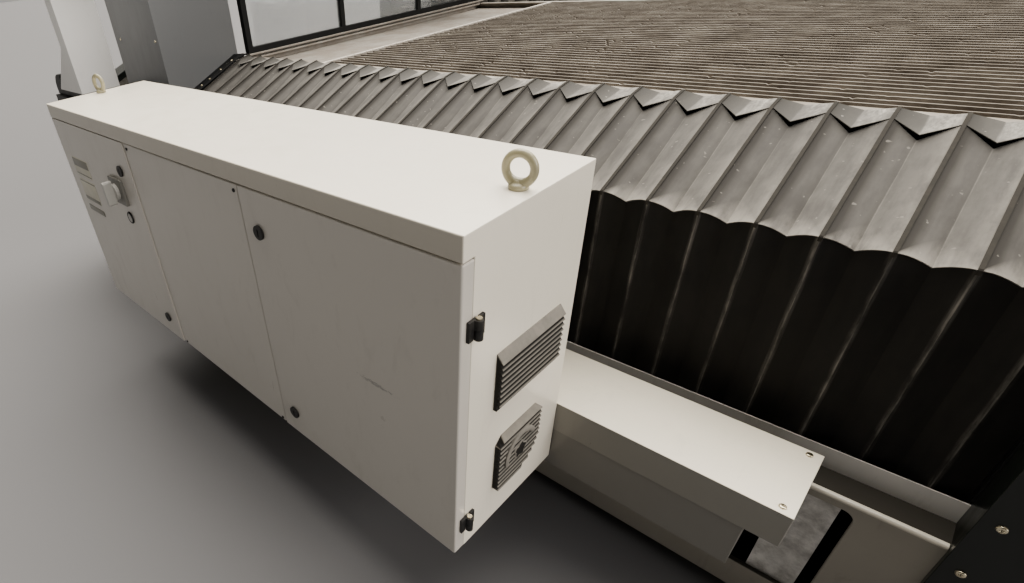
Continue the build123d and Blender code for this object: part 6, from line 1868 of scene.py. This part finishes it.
@dataclass
class Portal:
    """The gantry with its covers, the tow column, the saddle and the cutting head."""

    strip_screws: tuple[float, ...] = (702.0, 774.0, 822.0, 892.0, 960.0)
    strip_at: Pair = (-2090.0, -2574.0)
    strip_foot: Pair = (656.0, 979.0)
    strip_slope: float = 0.4006
    cover_screws_x: Pair = (-2500.0, -2130.0)
    cover_screws_z: tuple[float, ...] = (640.0, 940.0, 1238.0, 1536.0, 1790.0)
    cover_front: float = 620.0

    def build(self, shop: Shop) -> None:
        """Dress the gantry's nodes and add its chain and screws.

        Args:
            shop: The shop.
        """
        shop.outfit((
            (Finishes.dark_cover_paint, 2.0, "near_upright_cover far_upright_cover bridge_cover"),
            (Finishes.tow_paint, 3.0, "tow_column"), (Finishes.black_paint, 2.0, "tow_shoe"),
            (Finishes.black_paint, 1.5, "chain_channel"), (Finishes.portal_paint, 3.0, "portal_frame"),
            (Finishes.tow_paint, 3.0, "z_unit"), (Finishes.aluminium, 1.0, "y_saddle"),
            (Finishes.rail_steel, 0.6, "cutting_head"),
        ), (
            (Finishes.rail_steel, "x_carriages bridge_rails z_ram"), (Finishes.aluminium, "motor_forcers"),
            (Finishes.carbide, "focusing_tube")))
        self.chain(shop)
        self.screws(shop)

    def screws(self, shop: Shop) -> None:
        """Seat the pan heads of both clamp strips and of the upright covers.

        Args:
            shop: The shop.
        """
        foot_y, foot_z = self.strip_foot
        strip = [(x, y, foot_z + self.strip_slope * (y - foot_y))
                 for x in self.strip_at for y in self.strip_screws]
        cover = [(x, self.cover_front, z) for x in self.cover_screws_x for z in self.cover_screws_z]
        for name, radius, seats, axis in (
                ("clamp_strip_screws", 5.5, strip, Axis.ROOF),
                ("upright_cover_screws", 6.0, cover, Axis.FRONT)):
            ScrewTree().seat(shop, name, (radius, 3.5), seats, axis, Finishes.zinc, "gantry")

    def chain(self, shop: Shop) -> None:
        """Let the energy chain's band follow the gantry between its two runs.

        Args:
            shop: The shop.
        """
        piece = shop.from_bmesh("energy_chain_band", shop.welded_copy("energy_chain"))
        shop.settle(piece, None, Finishes.chain_plastic, "energy_chain")
        low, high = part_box("energy_chain")
        middle = (Vector(low) + Vector(high)) / 2
        reach = (high[2] - low[2]) * 0.25
        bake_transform(piece, "frame", "gantry", start=(middle.x, middle.y, middle.z - reach),
                 end=(middle.x, middle.y, middle.z + reach))


@dataclass
class Studio:
    """A pale floor and backdrop, soft lights and the camera at the photograph's place."""

    camera_at: Point = (425.2, -577.4, 1502.5)
    camera_turn: Point = (55.8754, 5.8610, 47.6075)
    lens: float = 19.359
    shift: Pair = (0.16936, 0.02707)
    floor_half: float = 90.0
    backdrop_radius: float = 85.0
    room_colour: str = "dcdad6"
    room_strength: float = 0.035

    def build(self) -> None:
        """Set the camera, the floor, the backdrop, the lights and the room's brightness."""
        self.camera()
        self.floor()
        self.backdrop()
        self.skylight("room_light", towards=(-0.22, 0.42, 0.88), strength=10.2, spread=72.0, colour="fff8ee")
        self.skylight("side_light", towards=(0.90, 0.10, 0.42), strength=2.65, spread=40.0, colour="fff8f3")
        self.lamp("column_light", at=(-1750.0, 0.0, 1720.0), aim=(-2480.0, 540.0, 1480.0), size=0.5, power=1.5,
                  spread=75.0, colour="fffaf4")
        world = bpy.data.worlds.new("room")
        world.use_nodes = True
        background = world.node_tree.nodes["Background"]
        background.inputs["Color"].default_value = linear(self.room_colour)
        background.inputs["Strength"].default_value = self.room_strength
        bpy.context.scene.world = world

    def hang(self, name: str, data: bpy.types.ID) -> bpy.types.Object:
        """Put a camera, a light or a mesh in the scene.

        Args:
            name: The object's name.
            data: What it holds.

        Returns:
            The new object.
        """
        made = bpy.data.objects.new(name, data)
        bpy.context.scene.collection.objects.link(made)
        return made

    def camera(self) -> None:
        """Create the camera."""
        data = bpy.data.cameras.new("photograph_camera")
        data.sensor_width = 36.0
        data.lens = self.lens
        data.shift_x, data.shift_y = self.shift
        data.clip_start = 0.02
        data.clip_end = 100.0
        made = self.hang("photograph_camera", data)
        made.location = DATUM.place(*self.camera_at)
        made.rotation_euler = [math.radians(value) for value in self.camera_turn]
        bpy.context.scene.camera = made

    def floor(self) -> None:
        """Lay a floor well past the machine."""
        mesh = bpy.data.meshes.new("floor")
        half = self.floor_half
        corners = [(-half, -half, 0), (half, -half, 0), (half, half, 0), (-half, half, 0)]
        mesh.from_pydata(corners, [], [(0, 1, 2, 3)])
        mesh.materials.append(FloorPaint("plain_floor", "floor").material())
        self.hang("floor", mesh)

    def backdrop(self) -> None:
        """Hang a pale backdrop far behind everything; it lights nothing and throws no shadow."""
        shape = bmesh.new()
        bmesh.ops.create_uvsphere(shape, u_segments=96, v_segments=48, radius=self.backdrop_radius)
        mesh = bpy.data.meshes.new("backdrop")
        shape.to_mesh(mesh)
        shape.free()
        mesh.materials.append(Backcloth("plain_backdrop", "backdrop").material())
        made = self.hang("backdrop", mesh)
        made.visible_diffuse = made.visible_glossy = made.visible_shadow = False

    def skylight(self, name: str, towards: Point, strength: float, spread: float, colour: str) -> None:
        """Light everything evenly from a wide disc overhead.

        Args:
            name: The light's name.
            towards: The direction in which the disc's centre lies.
            strength: Its strength in watts per square metre.
            spread: The disc's angle in degrees.
            colour: Its sRGB colour.
        """
        data = bpy.data.lights.new(name, "SUN")
        data.angle = math.radians(spread)
        data.energy = strength
        data.color = linear(colour)[:3]
        self.hang(name, data).rotation_euler = Vector(towards).to_track_quat("Z", "Y").to_euler()

    def lamp(self, name: str, at: Point, aim: Point, size: float, power: float, spread: float,
             colour: str) -> None:
        """Light one part of the machine from a square soft box that the camera doesn't see.

        Args:
            name: The light's name.
            at: Its place, in millimetres.
            aim: The point at which it looks.
            size: Its side in metres.
            power: Its power in watts.
            spread: The angle in degrees to which its beam is kept.
            colour: Its sRGB colour.
        """
        data = bpy.data.lights.new(name, "AREA")
        data.size = size
        data.energy = power
        data.spread = math.radians(spread)
        data.color = linear(colour)[:3]
        made = self.hang(name, data)
        made.location = DATUM.place(*at)
        made.rotation_euler = (DATUM.place(*aim) - DATUM.place(*at)).to_track_quat("-Z", "Y").to_euler()
        made.visible_camera = False


def main() -> None:
    """Load the frame, set up the studio and build every sub-assembly."""
    logging.basicConfig(level=logging.INFO, format="%(name)s: %(message)s")
    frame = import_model()
    shop = Shop(frame)
    Studio().build()
    Bellows().build(shop)
    EyeBolts().build(shop)
    Cabinet().build(shop)
    Beams().build(shop)
    Tank().build(shop)
    Portal().build(shop)


if __name__ == "__main__":
    main()
